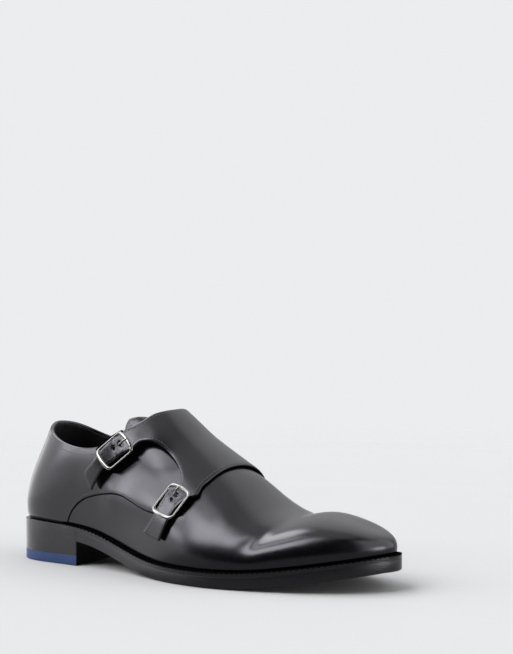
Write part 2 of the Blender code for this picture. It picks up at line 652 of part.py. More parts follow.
def build_tab(which, group):
    """Leather tab from the quarter up to the centre bar, which carries the buckle."""
    frame = buckle_frame(which)
    start, half = BAR_PLACE - 1.0, TAB_HALF_WIDTH
    edge = np.array([(start, -half), (TAB_LENGTH, -half), (TAB_LENGTH, half), (start, half)], float)
    ring = np.concatenate([np.linspace(a, b, 6)[:-1] for a, b in zip(edge, np.roll(edge, -1, axis=0))])
    points, triangles = fill_outline(ring, 4.0)
    place = frame(points)
    ground = np.full(len(points), FIT_GAP)
    bar_floor = stand_off(*np.array(BUCKLES[which][:2])) + CROWN - 2 * FIT_GAP - 2 * CENTRE_BAR_RADIUS
    under = np.maximum(ground, (bar_floor - TAB_THICKNESS) * (1 - ease(points[:, 0], 0.5, 10.5)))
    top = off_last(place[:, 0], place[:, 1], under + TAB_THICKNESS)
    bottom = off_last(place[:, 0], place[:, 1], under)
    return layered(f"{which}_buckle_tab", top, bottom, triangles, group)


# Materials: name, colour, metallic, roughness, and the pieces that take it
MATERIALS = (
    ("black_leather", (0.012, 0.012, 0.014), 0.0, 0.18, ("upper", "strap_saddle", "tongue")),
    ("tab_leather", (0.010, 0.010, 0.011), 0.0, 0.35, ("upper_buckle_tab", "lower_buckle_tab")),
    ("sole_leather", (0.030, 0.031, 0.034), 0.0, 0.42, ("outsole", "heel_block", "welt")),
    ("blue_rubber", (0.035, 0.075, 0.230), 0.0, 0.55, ("top_lift",)),
    ("insole_leather", (0.020, 0.019, 0.019), 0.0, 0.6, ("insole",)),
    ("bright_metal", (0.80, 0.80, 0.82), 1.0, 0.14,
     ("upper_buckle", "lower_buckle", "upper_prong", "lower_prong")),
)


def colour_pieces(group):
    """A material of its own for each piece."""
    for name, colour, metallic, roughness, pieces in MATERIALS:
        for piece in pieces:
            made = material(f"{name}_{piece}", colour, metallic, roughness)
            group.objects[piece].data.materials.append(made)


def centre_on_origin(group, cutters):
    """Moves every mesh so that the middle of the footprint is the origin."""
    corners = []
    shapes = bpy.context.evaluated_depsgraph_get()
    for made in group.objects:
        corners += [tuple(vertex.co) for vertex in made.evaluated_get(shapes).data.vertices]
    low, high = np.min(corners, axis=0), np.max(corners, axis=0)
    middle = (low + high) / 2
    shift = Matrix.Translation((-middle[0], -middle[1], -low[2]))
    for made in list(group.objects) + list(cutters.objects):
        made.data.transform(shift)


def main():
    for thing in list(bpy.data.objects):
        bpy.data.objects.remove(thing)
    group = collection(COLLECTION, bpy.context.scene.collection)
    cutters = collection("cutters", bpy.context.scene.collection)
    build_bottom(group)
    build_welt(group)
    build_upper(group)
    build_tongue(group)
    build_saddle(group, cutters)
    for which in BUCKLES:
        build_buckle(which, group, cutters)
        build_tab(which, group)
    for cutter in cutters.objects:
        cutter.hide_render = True
        cutter.display_type = "WIRE"
    for made in group.objects:
        made.data.polygons.foreach_set("use_smooth", [True] * len(made.data.polygons))
    centre_on_origin(group, cutters)
    colour_pieces(group)


main()
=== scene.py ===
"""Double monk-strap shoe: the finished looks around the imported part, laid out as an add-on.

Sizes inside the functions are in millimetres of the shoe's own drawing, toe along +X, inner side
of the foot +Y, floor at z = 0. A mesh is turned into metres and put in the part's frame when its
object is made.
"""
import math

import bmesh
import bpy
import numpy as np
from bpy.props import FloatProperty, FloatVectorProperty, PointerProperty
from mathutils import Matrix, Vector
from mathutils.geometry import delaunay_2d_cdt


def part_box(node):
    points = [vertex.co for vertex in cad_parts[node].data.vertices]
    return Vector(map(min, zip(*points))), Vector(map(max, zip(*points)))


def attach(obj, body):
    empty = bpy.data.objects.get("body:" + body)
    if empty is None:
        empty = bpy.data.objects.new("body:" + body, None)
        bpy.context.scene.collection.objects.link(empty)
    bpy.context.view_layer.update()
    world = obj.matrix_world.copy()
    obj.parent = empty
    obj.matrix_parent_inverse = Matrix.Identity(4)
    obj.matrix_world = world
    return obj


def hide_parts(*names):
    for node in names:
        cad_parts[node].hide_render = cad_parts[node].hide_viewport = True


bl_info = {
    "name": "Double Monk-Strap Shoe",
    "version": (1, 0, 0),
    "blender": (4, 5, 0),
    "location": "3D View > Sidebar > Shoe",
    "description": "Builds a polished leather shoe with two buckled straps",
    "category": "Add Mesh",
}

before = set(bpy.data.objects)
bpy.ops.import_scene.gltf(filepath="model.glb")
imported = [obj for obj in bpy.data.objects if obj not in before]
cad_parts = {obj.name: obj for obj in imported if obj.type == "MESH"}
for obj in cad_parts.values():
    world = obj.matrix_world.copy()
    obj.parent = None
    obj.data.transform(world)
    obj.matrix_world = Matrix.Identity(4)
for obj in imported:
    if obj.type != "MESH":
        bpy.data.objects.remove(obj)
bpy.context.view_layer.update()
MM = 0.001
BODY = "root"


# ---- the last ------------------------------------------------------------------------------------
# Driving sizes, millimetres
FIT_GAP = 0.3           # left between pieces that touch
SOLE_EDGE = 9.4         # welt and outsole together at the edge
WELT_HEIGHT = 2.6       # how deep the upper sits behind the welt
WELT_START = 54.0       # the welt runs out here, at the heel seat
WELT_RAMP = 26.0        # length over which it grows to full height
EDGE_WIDTH = 3.2        # sole edge beyond the upper, round the forefoot
SEAT_WIDTH = 2.4        # sole edge beyond the upper, round the heel seat
SEAT_END = (45, 80)     # lengths over which the one grows into the other
UPPER_WALL = 2.0        # leather and lining together

# The last, one row for each rib from the heel back to the toe tip:
#  foot:  x, y on the outer side, y on the inner side, z of the feather edge
#  top:   x, y of the middle, half gap between the two sides, z of the top line
#  shape: outward lean at the foot on the outer and inner side (degrees), pull at the foot,
#         inward lean on arriving at the top (degrees, 90 is level), pull at the top
#  edge:  height of the collar or throat edge, above the top line where the vamp is closed
RIBS = (
    (9.0, 0.0, 0.0, 27.5, 29.0, 0.0, 0.0, 106.0, 16, 16, 0.32, 11, 0.36, 92.6),
    (13.5, -17.5, 17.0, 27.6, 32.5, 0.0, 10.0, 105.0, 13, 13, 0.33, 10, 0.36, 91.2),
    (28.0, -28.5, 27.5, 28.0, 40.5, 0.0, 17.5, 103.0, 8, 8, 0.34, 16, 0.38, 86.8),
    (52.0, -31.0, 29.0, 26.9, 58.0, 0.0, 20.0, 104.0, 4, 3, 0.34, 28, 0.38, 80.1),
    (80.0, -32.0, 27.5, 24.2, 82.0, 0.5, 13.0, 116.0, 5, 7, 0.35, 42, 0.38, 77.6),
    (108.0, -35.5, 26.5, 17.0, 108.0, 1.0, 1.6, 113.4, 7, 10, 0.36, 82, 0.30, 85.6),
    (135.0, -42.5, 29.5, 11.0, 135.0, 2.0, 0.0, 95.8, 9, 10, 0.36, 90, 0.34, 92.0),
    (162.0, -50.0, 37.5, 9.4, 162.0, 3.0, 0.0, 78.2, 10, 8, 0.35, 90, 0.38, 86.0),
    (190.0, -52.0, 44.5, 9.4, 190.0, 3.5, 0.0, 60.7, 10, 6, 0.35, 90, 0.40, 72.0),
    (217.0, -47.5, 45.5, 10.8, 217.0, 4.0, 0.0, 43.9, 10, 6, 0.37, 90, 0.42, 60.0),
    (242.0, -40.0, 40.0, 13.9, 240.0, 4.0, 0.0, 43.2, 12, 8, 0.41, 90, 0.46, 56.0),
    (263.0, -30.2, 31.0, 17.1, 256.0, 3.0, 0.0, 42.0, 13, 10, 0.44, 90, 0.50, 55.0),
    (280.5, -16.5, 18.5, 19.9, 265.0, 2.0, 0.0, 39.7, 12, 12, 0.46, 90, 0.54, 54.0),
    (289.0, 1.5, 1.5, 21.3, 269.0, 1.5, 0.0, 38.2, 10, 10, 0.46, 90, 0.56, 54.0),
)
LAST_RIB = len(RIBS) - 1
ROUND = 2 * LAST_RIB    # positions once round the shoe: outer side out, inner side back
TIP_REACH = 0.8         # positions either side of the toe tip that share the ridge's last slope


def round_the_shoe():
    """The ribs as one closed row: outer side from heel to toe, inner side from toe to heel."""
    outer = [(r[0], r[1], *r[3:5], r[5] - r[6], *r[7:9], *r[10:]) for r in RIBS]
    inner = [(r[0], r[2], *r[3:5], r[5] + r[6], r[7], r[9], *r[10:]) for r in RIBS]
    return np.array(outer + inner[-2:0:-1], float)


def spline_bends(rows):
    """Second derivatives of the closed cubic spline through evenly spaced rows."""
    count = len(rows)
    eye = np.eye(count)
    system = 4 * eye + np.roll(eye, 1, axis=1) + np.roll(eye, -1, axis=1)
    ahead, behind = np.roll(rows, -1, axis=0), np.roll(rows, 1, axis=0)
    return np.linalg.solve(system, 6 * (ahead - 2 * rows + behind))


ROWS = round_the_shoe()
BENDS = spline_bends(ROWS)


def row_at(k):
    """Interpolated row, and its rate of change, at positions k round the shoe."""
    k = np.atleast_1d(np.asarray(k, float)) % ROUND
    low = np.floor(k).astype(int) % ROUND
    high = (low + 1) % ROUND
    b = (k - np.floor(k))[:, None]
    a = 1.0 - b
    row = a * ROWS[low] + b * ROWS[high] + ((a**3 - a) * BENDS[low] + (b**3 - b) * BENDS[high]) / 6
    rate = ROWS[high] - ROWS[low] + ((1 - 3 * a**2) * BENDS[low] + (3 * b**2 - 1) * BENDS[high]) / 6
    return row, rate


def outward(rate):
    """Unit normals of the feather edge in plan, away from the foot."""
    along = rate[:, :2] / np.linalg.norm(rate[:, :2], axis=1)[:, None]
    return np.stack([along[:, 1], -along[:, 0]], axis=1)


def rib_controls(k):
    """Four control points of the rib at each position k, from the feather edge to the top line."""
    row, rate = row_at(k)
    foot_x, foot_y, foot_z, top_x, top_y, top_z, lean, foot_pull, arrive, top_pull, _ = row.T
    gap = np.interp(np.where(k % ROUND > LAST_RIB, ROUND - k % ROUND, k % ROUND),
                    (0, 5.5, 6), (1, 1, 0))
    middle = (top_y + row_at(ROUND - k)[0][:, 4]) / 2
    top_y = middle + (top_y - middle) * gap
    foot = np.stack([foot_x, foot_y, foot_z], axis=1)
    top = np.stack([top_x, top_y, top_z], axis=1)
    reach = np.linalg.norm(top - foot, axis=1)[:, None]
    inward = (top - foot)[:, :2]
    inward = inward / np.maximum(np.linalg.norm(inward, axis=1), 1e-6)[:, None]
    lean, arrive = np.radians(lean), np.radians(np.clip(arrive, 0, 90))
    rise = np.concatenate([outward(rate) * np.sin(lean)[:, None], np.cos(lean)[:, None]], axis=1)
    near_tip = np.abs(k - LAST_RIB) < TIP_REACH
    ridge = row_at(np.where(near_tip, LAST_RIB - TIP_REACH, k))[1]
    along = np.where(np.abs(ridge[:, 3]) > 0.3, ridge[:, 3], 1e9)
    slope = ridge[:, 5] / along
    on_ridge = np.clip((np.degrees(arrive) - 40) / 50, 0, 1)
    climb = np.cos(arrive) + np.sin(arrive) * inward[:, 0] * slope * on_ridge
    over = np.concatenate([inward * np.sin(arrive)[:, None], climb[:, None]], axis=1)
    return foot, foot + rise * reach * foot_pull[:, None], top - over * reach * top_pull[:, None], top


def on_rib(k, v):
    """Points of the last: v is 0 at the feather edge and 1 at the top line."""
    k, v = np.broadcast_arrays(np.atleast_1d(np.asarray(k, float)), np.asarray(v, float))
    foot, low, high, top = rib_controls(k.ravel())
    v = v.ravel()[:, None]
    points = (1-v)**3 * foot + 3*(1-v)**2 * v * low + 3*(1-v) * v**2 * high + v**3 * top
    return points.reshape(k.shape + (3,))


# The chart of the last: x of the rib's foot, and girth from the ridge, positive on the outer side.
# Points and outward normals are worked out once at every millimetre and read between.
RIB_STEPS = 200
RIDGE_PASSES = 12
CHART_X = np.arange(10.0, 289.0)
CHART_GIRTH = np.arange(-112.0, 113.0)


def rib_lines(k):
    """Each rib from the middle of the top line down to its foot, with the girth at every step."""
    line = on_rib(k[:, None], np.linspace(1, 0, RIB_STEPS)[None, :])
    middle = (line[:, 0] + on_rib(ROUND - k, 1.0)) / 2
    line = np.concatenate([middle[:, None, :], line], axis=1)
    steps = np.linalg.norm(np.diff(line, axis=1), axis=2)
    return line, np.concatenate([np.zeros((len(k), 1)), np.cumsum(steps, axis=1)], axis=1)


def eased_table(points):
    """The chart's points with their small corners eased, mostly along the ridge."""
    near = np.exp(-(CHART_GIRTH / 16.0) ** 4)[None, :, None]
    eased = points.copy()
    for _ in range(RIDGE_PASSES):
        wide = eased.copy()
        wide[:, 1:-1] = (eased[:, :-2] + 2 * eased[:, 1:-1] + eased[:, 2:]) / 4
        wide[1:-1] = (wide[:-2] + 2 * wide[1:-1] + wide[2:]) / 4
        eased = eased + (wide - eased) * near
    return eased


def chart_tables():
    """Points and outward normals of the last over the chart."""
    places = np.linspace(0, LAST_RIB, 40 * LAST_RIB + 1)
    k = np.interp(CHART_X, on_rib(places, 0.0)[:, 0], places)
    points = np.zeros((len(CHART_X), len(CHART_GIRTH), 3))
    for side, rib in ((CHART_GIRTH >= 0, k), (CHART_GIRTH < 0, ROUND - k)):
        lines, lengths = rib_lines(rib)
        for i, (line, length) in enumerate(zip(lines, lengths)):
            for axis in range(3):
                points[i, side, axis] = np.interp(np.abs(CHART_GIRTH[side]), length, line[:, axis])
    points = eased_table(points)
    normals = np.cross(np.gradient(points, axis=1), np.gradient(points, axis=0))
    size = np.linalg.norm(normals, axis=2, keepdims=True)
    return points, normals / np.maximum(size, 1e-9)


LAST_POINTS, LAST_NORMALS = chart_tables()


def blend_weights(t):
    """Weights of four neighbouring table values, for a smooth curve through all of them."""
    t = t[..., None]
    return (0.5 * (-t + 2 * t**2 - t**3), 0.5 * (2 - 5 * t**2 + 3 * t**3),
            0.5 * (t + 4 * t**2 - 3 * t**3), 0.5 * (t**3 - t**2))


def read_chart(table, x, girth):
    """Values of a chart table between its millimetres, without facets."""
    x, girth = np.broadcast_arrays(np.asarray(x, float), np.asarray(girth, float))
    across = np.clip(x - CHART_X[0], 1, len(CHART_X) - 2.001)
    down = np.clip(girth - CHART_GIRTH[0], 1, len(CHART_GIRTH) - 2.001)
    i, j = np.floor(across).astype(int), np.floor(down).astype(int)
    by_x, by_girth = blend_weights(across - i), blend_weights(down - j)
    value = 0.0
    for m in range(4):
        for n in range(4):
            value = value + table[i + m - 1, j + n - 1] * by_x[m] * by_girth[n]
    return value


def off_last(x, girth, height):
    """Points at a height above the last, along its outward normal."""
    normal = read_chart(LAST_NORMALS, x, girth)
    normal /= np.linalg.norm(normal, axis=-1, keepdims=True)
    return read_chart(LAST_POINTS, x, girth) + normal * np.asarray(height, float)[..., None]


def ease(value, start, end):
    """0 before start, 1 after end, smooth between."""
    t = np.clip((np.asarray(value, float) - start) / (end - start), 0, 1)
    return t * t * (3 - 2 * t)


def hill(offset, half):
    """1 in the middle, falling away smoothly over a distance of half to either side."""
    return np.exp(-(offset / half) ** 2)


# How far the saddle's underside stands off the last, above the least gap
RIDGE_RISE = (1.9, 1.6)     # over the ridge at the throat, and how much less further towards the toe
UPPER_STRAP_RISE = 3.2
LOWER_STRAP_RISE = 1.85
TAIL_FALL = (1.6, 0.7)      # fall to the upper strap's free end, and how much less to the lower one's
STRAPS_PART = (125, 145)    # lengths over which the upper strap's values pass into the lower one's


def stand_off(x, girth):
    """Height of the saddle's underside above the last: low inside, bridging under the straps."""
    lower = ease(x, *STRAPS_PART)
    ridge = (RIDGE_RISE[0] - RIDGE_RISE[1] * ease(x, 126, 152)) * ease(girth, -40, -5)
    upper_strap = UPPER_STRAP_RISE * ease(girth, 18, 50) * (1 - lower)
    lower_strap = LOWER_STRAP_RISE * ease(girth, 30, 58) * lower
    tail = (TAIL_FALL[0] - TAIL_FALL[1] * lower) * ease(girth, 62, 84)
    return FIT_GAP + ridge + upper_strap + lower_strap - tail


def strap_frame(x, girth, towards):
    """Turns places on a strap, along it and across it in real millimetres, into chart places."""
    by_x = (read_chart(LAST_POINTS, x + 4, girth) - read_chart(LAST_POINTS, x - 4, girth)) / 8
    by_girth = (read_chart(LAST_POINTS, x, girth + 4) - read_chart(LAST_POINTS, x, girth - 4)) / 8
    normal = np.cross(by_girth, by_x)
    along = by_x * towards[0] + by_girth * towards[1]
    along /= np.linalg.norm(along)
    across = np.cross(normal / np.linalg.norm(normal), along)
    to_chart = np.linalg.pinv(np.stack([by_x, by_girth], axis=1)) @ np.stack([along, across], axis=1)
    return lambda place: np.array((x, girth)) + np.asarray(place, float) @ to_chart.T


# Sole and heel sizes, millimetres
LIFT_HEIGHT = 6.5
HEEL_BREAST = 70.3
BREAST_HOLLOW = 4.0
INSOLE_INSET = 3.4
INSOLE_RISE = 2.4
MARGIN = 0.4            # least depth of the upper's lower edge behind the sole edge

# Saddle: the flap over the instep with its two straps
SADDLE_THICKNESS = 1.8
STRAP_HALF_WIDTH = 6.9
CROWN = 0.8             # rise of a strap over its buckle's centre bar
CROWN_SPREAD = 22.0     # square of the distance along the strap over which it falls away
HOLE_DEPTH = 1.5
HOLE_DISH = 0.18        # how far the leather is pressed in round a hole
TONGUE_THICKNESS = 1.8
TONGUE_SAG = 6.5        # how far its free end sinks

# Buckles, one row each: place of the centre on the chart (x, girth) and the way the strap runs
BUCKLES = {
    "upper": (104.2, 53.0, -0.68, 0.733),
    "lower": (158.0, 59.0, -0.423, 0.906),
}
# How each ring lies, one row each: place of its middle on the chart (x, girth), degrees that it is
# turned on the strap and tipped along it
RING_SET = {
    "upper": (106.9, 53.0, 8.6, -8.0),
    "lower": (159.3, 58.9, 14.2, -11.0),
}
BUCKLE_LENGTH = 23.3
BUCKLE_WIDTH = 18.2
BAR_PLACE = -2.5        # the bar that carries the prong, from the buckle's middle towards the toe
PRONG_PLACE = -4.4      # where the prong comes up through the strap
PRONG_SWAY = -1.6       # how far to the side it comes up there
END_BAR_RADIUS = 1.2
SIDE_BAR_RADIUS = 0.68
CENTRE_BAR_RADIUS = 0.6
PRONG_RADIUS = 0.7
RING_FLATTEN = 0.82     # height of the ring's bars for their width
RING_CORNER = 2.4
RING_DRAW = 0.5         # the end bars stand in by this at the corners
RING_BOW = 0.8          # and bow out by this in the middle
RING_FREE = 0.3         # more than the least gap between the ring and the strap
TAB_HALF_WIDTH = 9.0
TAB_REACH = 12.0        # from the buckle's middle down the quarter
TAB_LEAD = 7.5          # from the centre bar towards the toe
TAB_THICKNESS = 1.2


FOOT_PLACES = np.linspace(0, LAST_RIB, 40 * LAST_RIB + 1)
FOOT_LINE = on_rib(FOOT_PLACES, 0.0)


def plan_z(x):
    """Height of the feather edge above the floor at a length x."""
    return np.interp(x, FOOT_LINE[:, 0], FOOT_LINE[:, 2])


def welt_depth(x):
    """How far the upper's lower edge goes down behind the welt."""
    return np.maximum(MARGIN, WELT_HEIGHT * ease(x, WELT_START, WELT_START + WELT_RAMP))


def sole_top(x):
    """Height of the sole's upper face at a length x, below the upper's lower edge."""
    return plan_z(x) - welt_depth(x) - FIT_GAP


def sole_bottom(x):
    """Height of the sole's underside at a length x; it stands on the floor under the forefoot."""
    return np.maximum(0.0, plan_z(x) - SOLE_EDGE)


def beyond_feather(k, width):
    """Plan points at a distance outside the feather edge."""
    row, rate = row_at(k)
    return row[:, :2] + outward(rate) * np.broadcast_to(width, len(row))[:, None]


def edge_width(x):
    """How far the sole edge stands beyond the upper at a length x."""
    return SEAT_WIDTH + (EDGE_WIDTH - SEAT_WIDTH) * ease(x, *SEAT_END)


def edge_line(k, inward=0.0):
    """Plan line of the sole edge, or of a line at a distance inside it."""
    return beyond_feather(k, edge_width(row_at(k)[0][:, 0]) - inward)


def place_of(x):
    """Position round the shoe, on the outer side, of the feather edge at a length x."""
    return float(np.interp(x, FOOT_LINE[:, 0], FOOT_PLACES))


# ---- from the drawing to the part's frame --------------------------------------------------------
def drawing_shift():
    """Offset in millimetres that lays the drawing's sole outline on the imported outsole."""
    low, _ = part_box("outsole")
    outline = edge_line(np.arange(0, ROUND, 0.25))
    return np.array([low.x / MM - outline[:, 0].min(), low.y / MM - outline[:, 1].min(), low.z / MM])


SHIFT = drawing_shift()


def grid_faces(rows, columns, closed=False):
    """Quads between neighbouring rows of points; closed joins the last column to the first."""
    n = np.arange(columns if closed else columns - 1)
    m = (n + 1) % columns
    starts = np.arange(rows - 1)[:, None] * columns
    quads = np.stack([starts + n, starts + m, starts + columns + m, starts + columns + n], axis=-1)
    return quads.reshape(-1, 4).tolist()


def weld(shape, merge, least):
    """Merges points closer than merge and takes out edges shorter than least, in metres."""
    bmesh.ops.remove_doubles(shape, verts=shape.verts, dist=merge)
    bmesh.ops.dissolve_degenerate(shape, edges=shape.edges, dist=least)


def make_object(name, points, faces, materials, picks=None, sharp=38.0):
    """Smooth shaded object from drawing millimetres; picks gives each face its material."""
    mesh = bpy.data.meshes.new(name)
    places = (np.asarray(points, float).reshape(-1, 3) + SHIFT) * MM
    mesh.from_pydata(places.tolist(), [], faces)
    for used in materials:
        mesh.materials.append(used)
    if picks is not None:
        mesh.polygons.foreach_set("material_index", np.asarray(picks, np.int32))
    shape = bmesh.new()
    shape.from_mesh(mesh)
    weld(shape, 0.000004, 0.000002)
    bmesh.ops.recalc_face_normals(shape, faces=shape.faces)
    shape.to_mesh(mesh)
    shape.free()
    mesh.polygons.foreach_set("use_smooth", [True] * len(mesh.polygons))
    mesh.set_sharp_from_angle(angle=math.radians(sharp))
    made = bpy.data.objects.new(name, mesh)
    bpy.context.scene.collection.objects.link(made)
    return made


def settle(made, slot, *replaced):
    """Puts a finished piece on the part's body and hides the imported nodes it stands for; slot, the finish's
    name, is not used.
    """
    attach(made, BODY)
    if replaced:
        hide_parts(*replaced)
    return made


def reach_along(line):
    """Distance from the start of a line to each of its points."""
    return np.concatenate([[0], np.cumsum(np.linalg.norm(np.diff(line, axis=0), axis=1))])


def at_reach(line, reach, t):
    """Points of a line at distances t from its start."""
    return np.stack([np.interp(t, reach, column) for column in line.T], axis=1)


def through(points, spacing):
    """Points at a spacing along a smooth curve through a few given ones, both ends included."""
    points = np.array(points, float)
    reach = reach_along(points)
    slope = np.gradient(points, reach, axis=0)
    t = np.linspace(0, reach[-1], max(2, round(reach[-1] / spacing) + 1))
    i = np.clip(np.searchsorted(reach, t, side="right") - 1, 0, len(points) - 2)
    step = (reach[i + 1] - reach[i])[:, None]
    s = (t - reach[i])[:, None] / step
    start = (2 * s**3 - 3 * s**2 + 1) * points[i] + (s**3 - 2 * s**2 + s) * step * slope[i]
    return start + (3 * s**2 - 2 * s**3) * points[i + 1] + (s**3 - s**2) * step * slope[i + 1]


def spaced(line, spacing, closed=False):
    """The same line with its points at an even spacing."""
    line = np.concatenate([line, line[:1]]) if closed else np.asarray(line)
    reach = reach_along(line)
    count = max(2, round(reach[-1] / spacing)) + 1
    t = np.linspace(0, reach[-1], count)[:-1 if closed else None]
    return at_reach(line, reach, t)


def softened(outline, passes):
    """A closed outline with its corners eased."""
    for _ in range(passes):
        outline = (np.roll(outline, 1, axis=0) + 2 * outline + np.roll(outline, -1, axis=0)) / 4
    return outline


def inset(outline, width):
    """A closed outline moved inwards, whichever way round its points run."""
    along = np.roll(outline, -1, axis=0) - np.roll(outline, 1, axis=0)
    along /= np.linalg.norm(along, axis=1)[:, None]
    area = np.sum(outline[:, 0] * np.roll(outline[:, 1], -1) - np.roll(outline[:, 0], -1) * outline[:, 1])
    inward = np.stack([-along[:, 1], along[:, 0]], axis=1) * math.copysign(1, area)
    return outline + inward * width


# Rings of points round a punched hole's middle, one row each: share of the given radius, points
HOLE_RINGS = ((0.0, 1), (0.18, 10), (0.34, 16), (0.45, 20), (0.58, 24), (0.72, 28), (0.88, 30))


def fill_outline(outline, spacing, holes=()):
    """Points and triangles that fill a closed outline: its own points first, then a grid inside.

    Each of holes, a place and a radius, has rings of points instead of the grid.
    """
    low, high = outline.min(axis=0), outline.max(axis=0)
    grid_x = np.arange(low[0] + spacing / 2, high[0], spacing)
    grid_y = np.arange(low[1] + spacing / 2, high[1], spacing * 0.87)
    grid = np.stack(np.meshgrid(grid_x, grid_y), axis=-1)
    grid[1::2, :, 0] += spacing / 2
    grid = grid.reshape(-1, 2)
    for place, radius in holes:
        grid = grid[np.linalg.norm(grid - place, axis=1) > radius]
    ahead = np.roll(outline, -1, axis=0) - outline
    clear = np.empty(len(grid), bool)
    for start in range(0, len(grid), 2000):
        part = grid[start:start + 2000]
        offset = part[:, None] - outline[None]
        t = np.clip((offset * ahead).sum(axis=2) / np.maximum((ahead**2).sum(axis=1), 1e-9), 0, 1)
        gap = np.linalg.norm(offset - t[..., None] * ahead, axis=2).min(axis=1)
        clear[start:start + 2000] = gap > 0.5 * spacing
    rings = []
    for place, radius in holes:
        for share, count in HOLE_RINGS:
            turn = np.linspace(0, 2 * math.pi, count, endpoint=False)
            rings.append(place + radius * share * np.stack([np.cos(turn), np.sin(turn)], axis=1))
    points = np.concatenate([outline, grid[clear], *rings])
    found = delaunay_2d_cdt([tuple(p) for p in points], [], [list(range(len(outline)))], 1, 1e-6)
    used = sorted({v for face in found[2] for v in face})
    number = {v: n for n, v in enumerate(used)}
    triangles = [tuple(number[v] for v in face) for face in found[2]]
    return np.array([tuple(found[0][v]) for v in used]), triangles


def rounded_panel(outline, under, thickness, spacing, holes=(), lift=None):
    """Points and faces of a sheet over the last with rounded edges, the edges' faces first.

    under gives the height of its underside at chart places, and lift what is added to the upper
    side's height, for holes that are pressed in.
    """
    half = thickness / 2
    turns = np.radians(np.array([-90, -60, -30, 0, 30, 60, 90]))
    rings = []
    for turn in turns:
        ring = inset(outline, half * (1 - math.cos(turn)))
        height = under(ring[:, 0], ring[:, 1]) + half * (1 + math.sin(turn))
        rings.append(off_last(ring[:, 0], ring[:, 1], height))
    core = inset(outline, half)
    count = len(outline)
    faces = grid_faces(len(turns), count, closed=True)
    points, triangles = fill_outline(core, spacing, holes)
    height = under(points[:, 0], points[:, 1])
    top_height = height + thickness
    if lift is not None:
        top_height = top_height + lift(points[:, 0], points[:, 1])
    top = off_last(points[:, 0], points[:, 1], top_height)
    bottom = off_last(points[:, 0], points[:, 1], height)
    top_start = len(turns) * count
    faces += [tuple(v + top_start for v in face) for face in triangles]
    bottom_start = top_start + len(top)
    faces += [tuple(v + bottom_start for v in reversed(face)) for face in triangles]
    return np.concatenate([*rings, top, bottom]), faces


def rounded_slab(outline, low, high, radius, spacing, taper=0.0):
    """Points and faces of a plan slab between two heights, low and high, given by length.

    Its edges are rounded, and taper draws the lower outline in.
    """
    turns = np.radians(np.linspace(0, 90, 5))
    steps = [(radius * (1 - math.sin(turn)), radius * (1 - math.cos(turn))) for turn in turns]
    rings = []
    for upper, part in ((False, steps), (True, steps[::-1])):
        for inward, rise in part:
            ring = inset(outline, inward + (0 if upper else taper))
            z = high(ring[:, 0]) - rise if upper else low(ring[:, 0]) + rise
            rings.append(np.column_stack([ring, z]))
    faces = grid_faces(len(rings), len(outline), closed=True)
    caps = []
    start = len(rings) * len(outline)
    for inward, surface in ((radius + taper, low), (radius, high)):
        points, triangles = fill_outline(inset(outline, inward), spacing)
        caps.append(np.column_stack([points, surface(points[:, 0])]))
        order = reversed if surface is low else tuple
        faces += [tuple(v + start for v in order(face)) for face in triangles]
        start += len(points)
    return np.concatenate([*rings, *caps]), faces


def tube_points(path, radii, sides=12, closed=False, flat=1.0, up=None):
    """Points and faces of a round bar along a path; flat presses it along the up directions."""
    path = np.asarray(path, float)
    if closed:
        along = np.roll(path, -1, axis=0) - np.roll(path, 1, axis=0)
    else:
        along = np.gradient(path, axis=0)
    along /= np.linalg.norm(along, axis=1)[:, None]
    if up is None:
        up = np.tile((0.0, 0.0, 1.0), (len(path), 1))
    side = np.cross(up, along)
    side /= np.maximum(np.linalg.norm(side, axis=1), 1e-9)[:, None]
    top = np.cross(along, side)
    turn = np.linspace(0, 2 * math.pi, sides, endpoint=False)
    radii = np.broadcast_to(radii, len(path))[:, None, None]
    ring = np.cos(turn)[None, :, None] * side[:, None] + flat * np.sin(turn)[None, :, None] * top[:, None]
    points = path[:, None] + radii * ring
    count = len(path)
    faces = grid_faces(count, sides, closed=True)
    points = points.reshape(-1, 3)
    if closed:
        last, n = (count - 1) * sides, np.arange(sides)
        m = (n + 1) % sides
        faces += np.stack([last + n, last + m, m, n], axis=-1).tolist()
    else:
        faces += [tuple(range(sides))[::-1], tuple(range((count - 1) * sides, count * sides))]
    return points, faces


# ---- shader groups and materials -----------------------------------------------------------------
def new_group(name, inputs, outputs):
    """Empty shader group with float or vector inputs and named outputs."""
    group = bpy.data.node_groups.new(name, "ShaderNodeTree")
    for label, kind, value in inputs:
        socket = group.interface.new_socket(label, in_out="INPUT", socket_type=kind)
        if value is not None:
            socket.default_value = value
    for label, kind in outputs:
        group.interface.new_socket(label, in_out="OUTPUT", socket_type=kind)
    start = group.nodes.new("NodeGroupInput")
    end = group.nodes.new("NodeGroupOutput")
    return group, start, end


def feed(tree, socket, value):
    """Links an input to another node's output, or sets its value."""
    if isinstance(value, bpy.types.NodeSocket):
        tree.links.new(value, socket)
    else:
        socket.default_value = value


def add(tree, kind, inputs=(), **settings):
    """Node with its settings, and with its inputs linked or set."""
    node = tree.nodes.new(kind)
    for key, value in settings.items():
        setattr(node, key, value)
    for key, value in dict(inputs).items():
        feed(tree, node.inputs[key], value)
    return node


def maths(tree, operation, a, b=0.0, clamp=False):
    """Output of a Math node."""
    node = add(tree, "ShaderNodeMath", {0: a, 1: b}, operation=operation, use_clamp=clamp)
    return node.outputs[0]


def spread(tree, value, low, high, to_low, to_high):
    """Output of a Map Range node."""
    node = add(tree, "ShaderNodeMapRange", {"Value": value, "From Min": low, "From Max": high,
                                            "To Min": to_low, "To Max": to_high})
    return node.outputs["Result"]


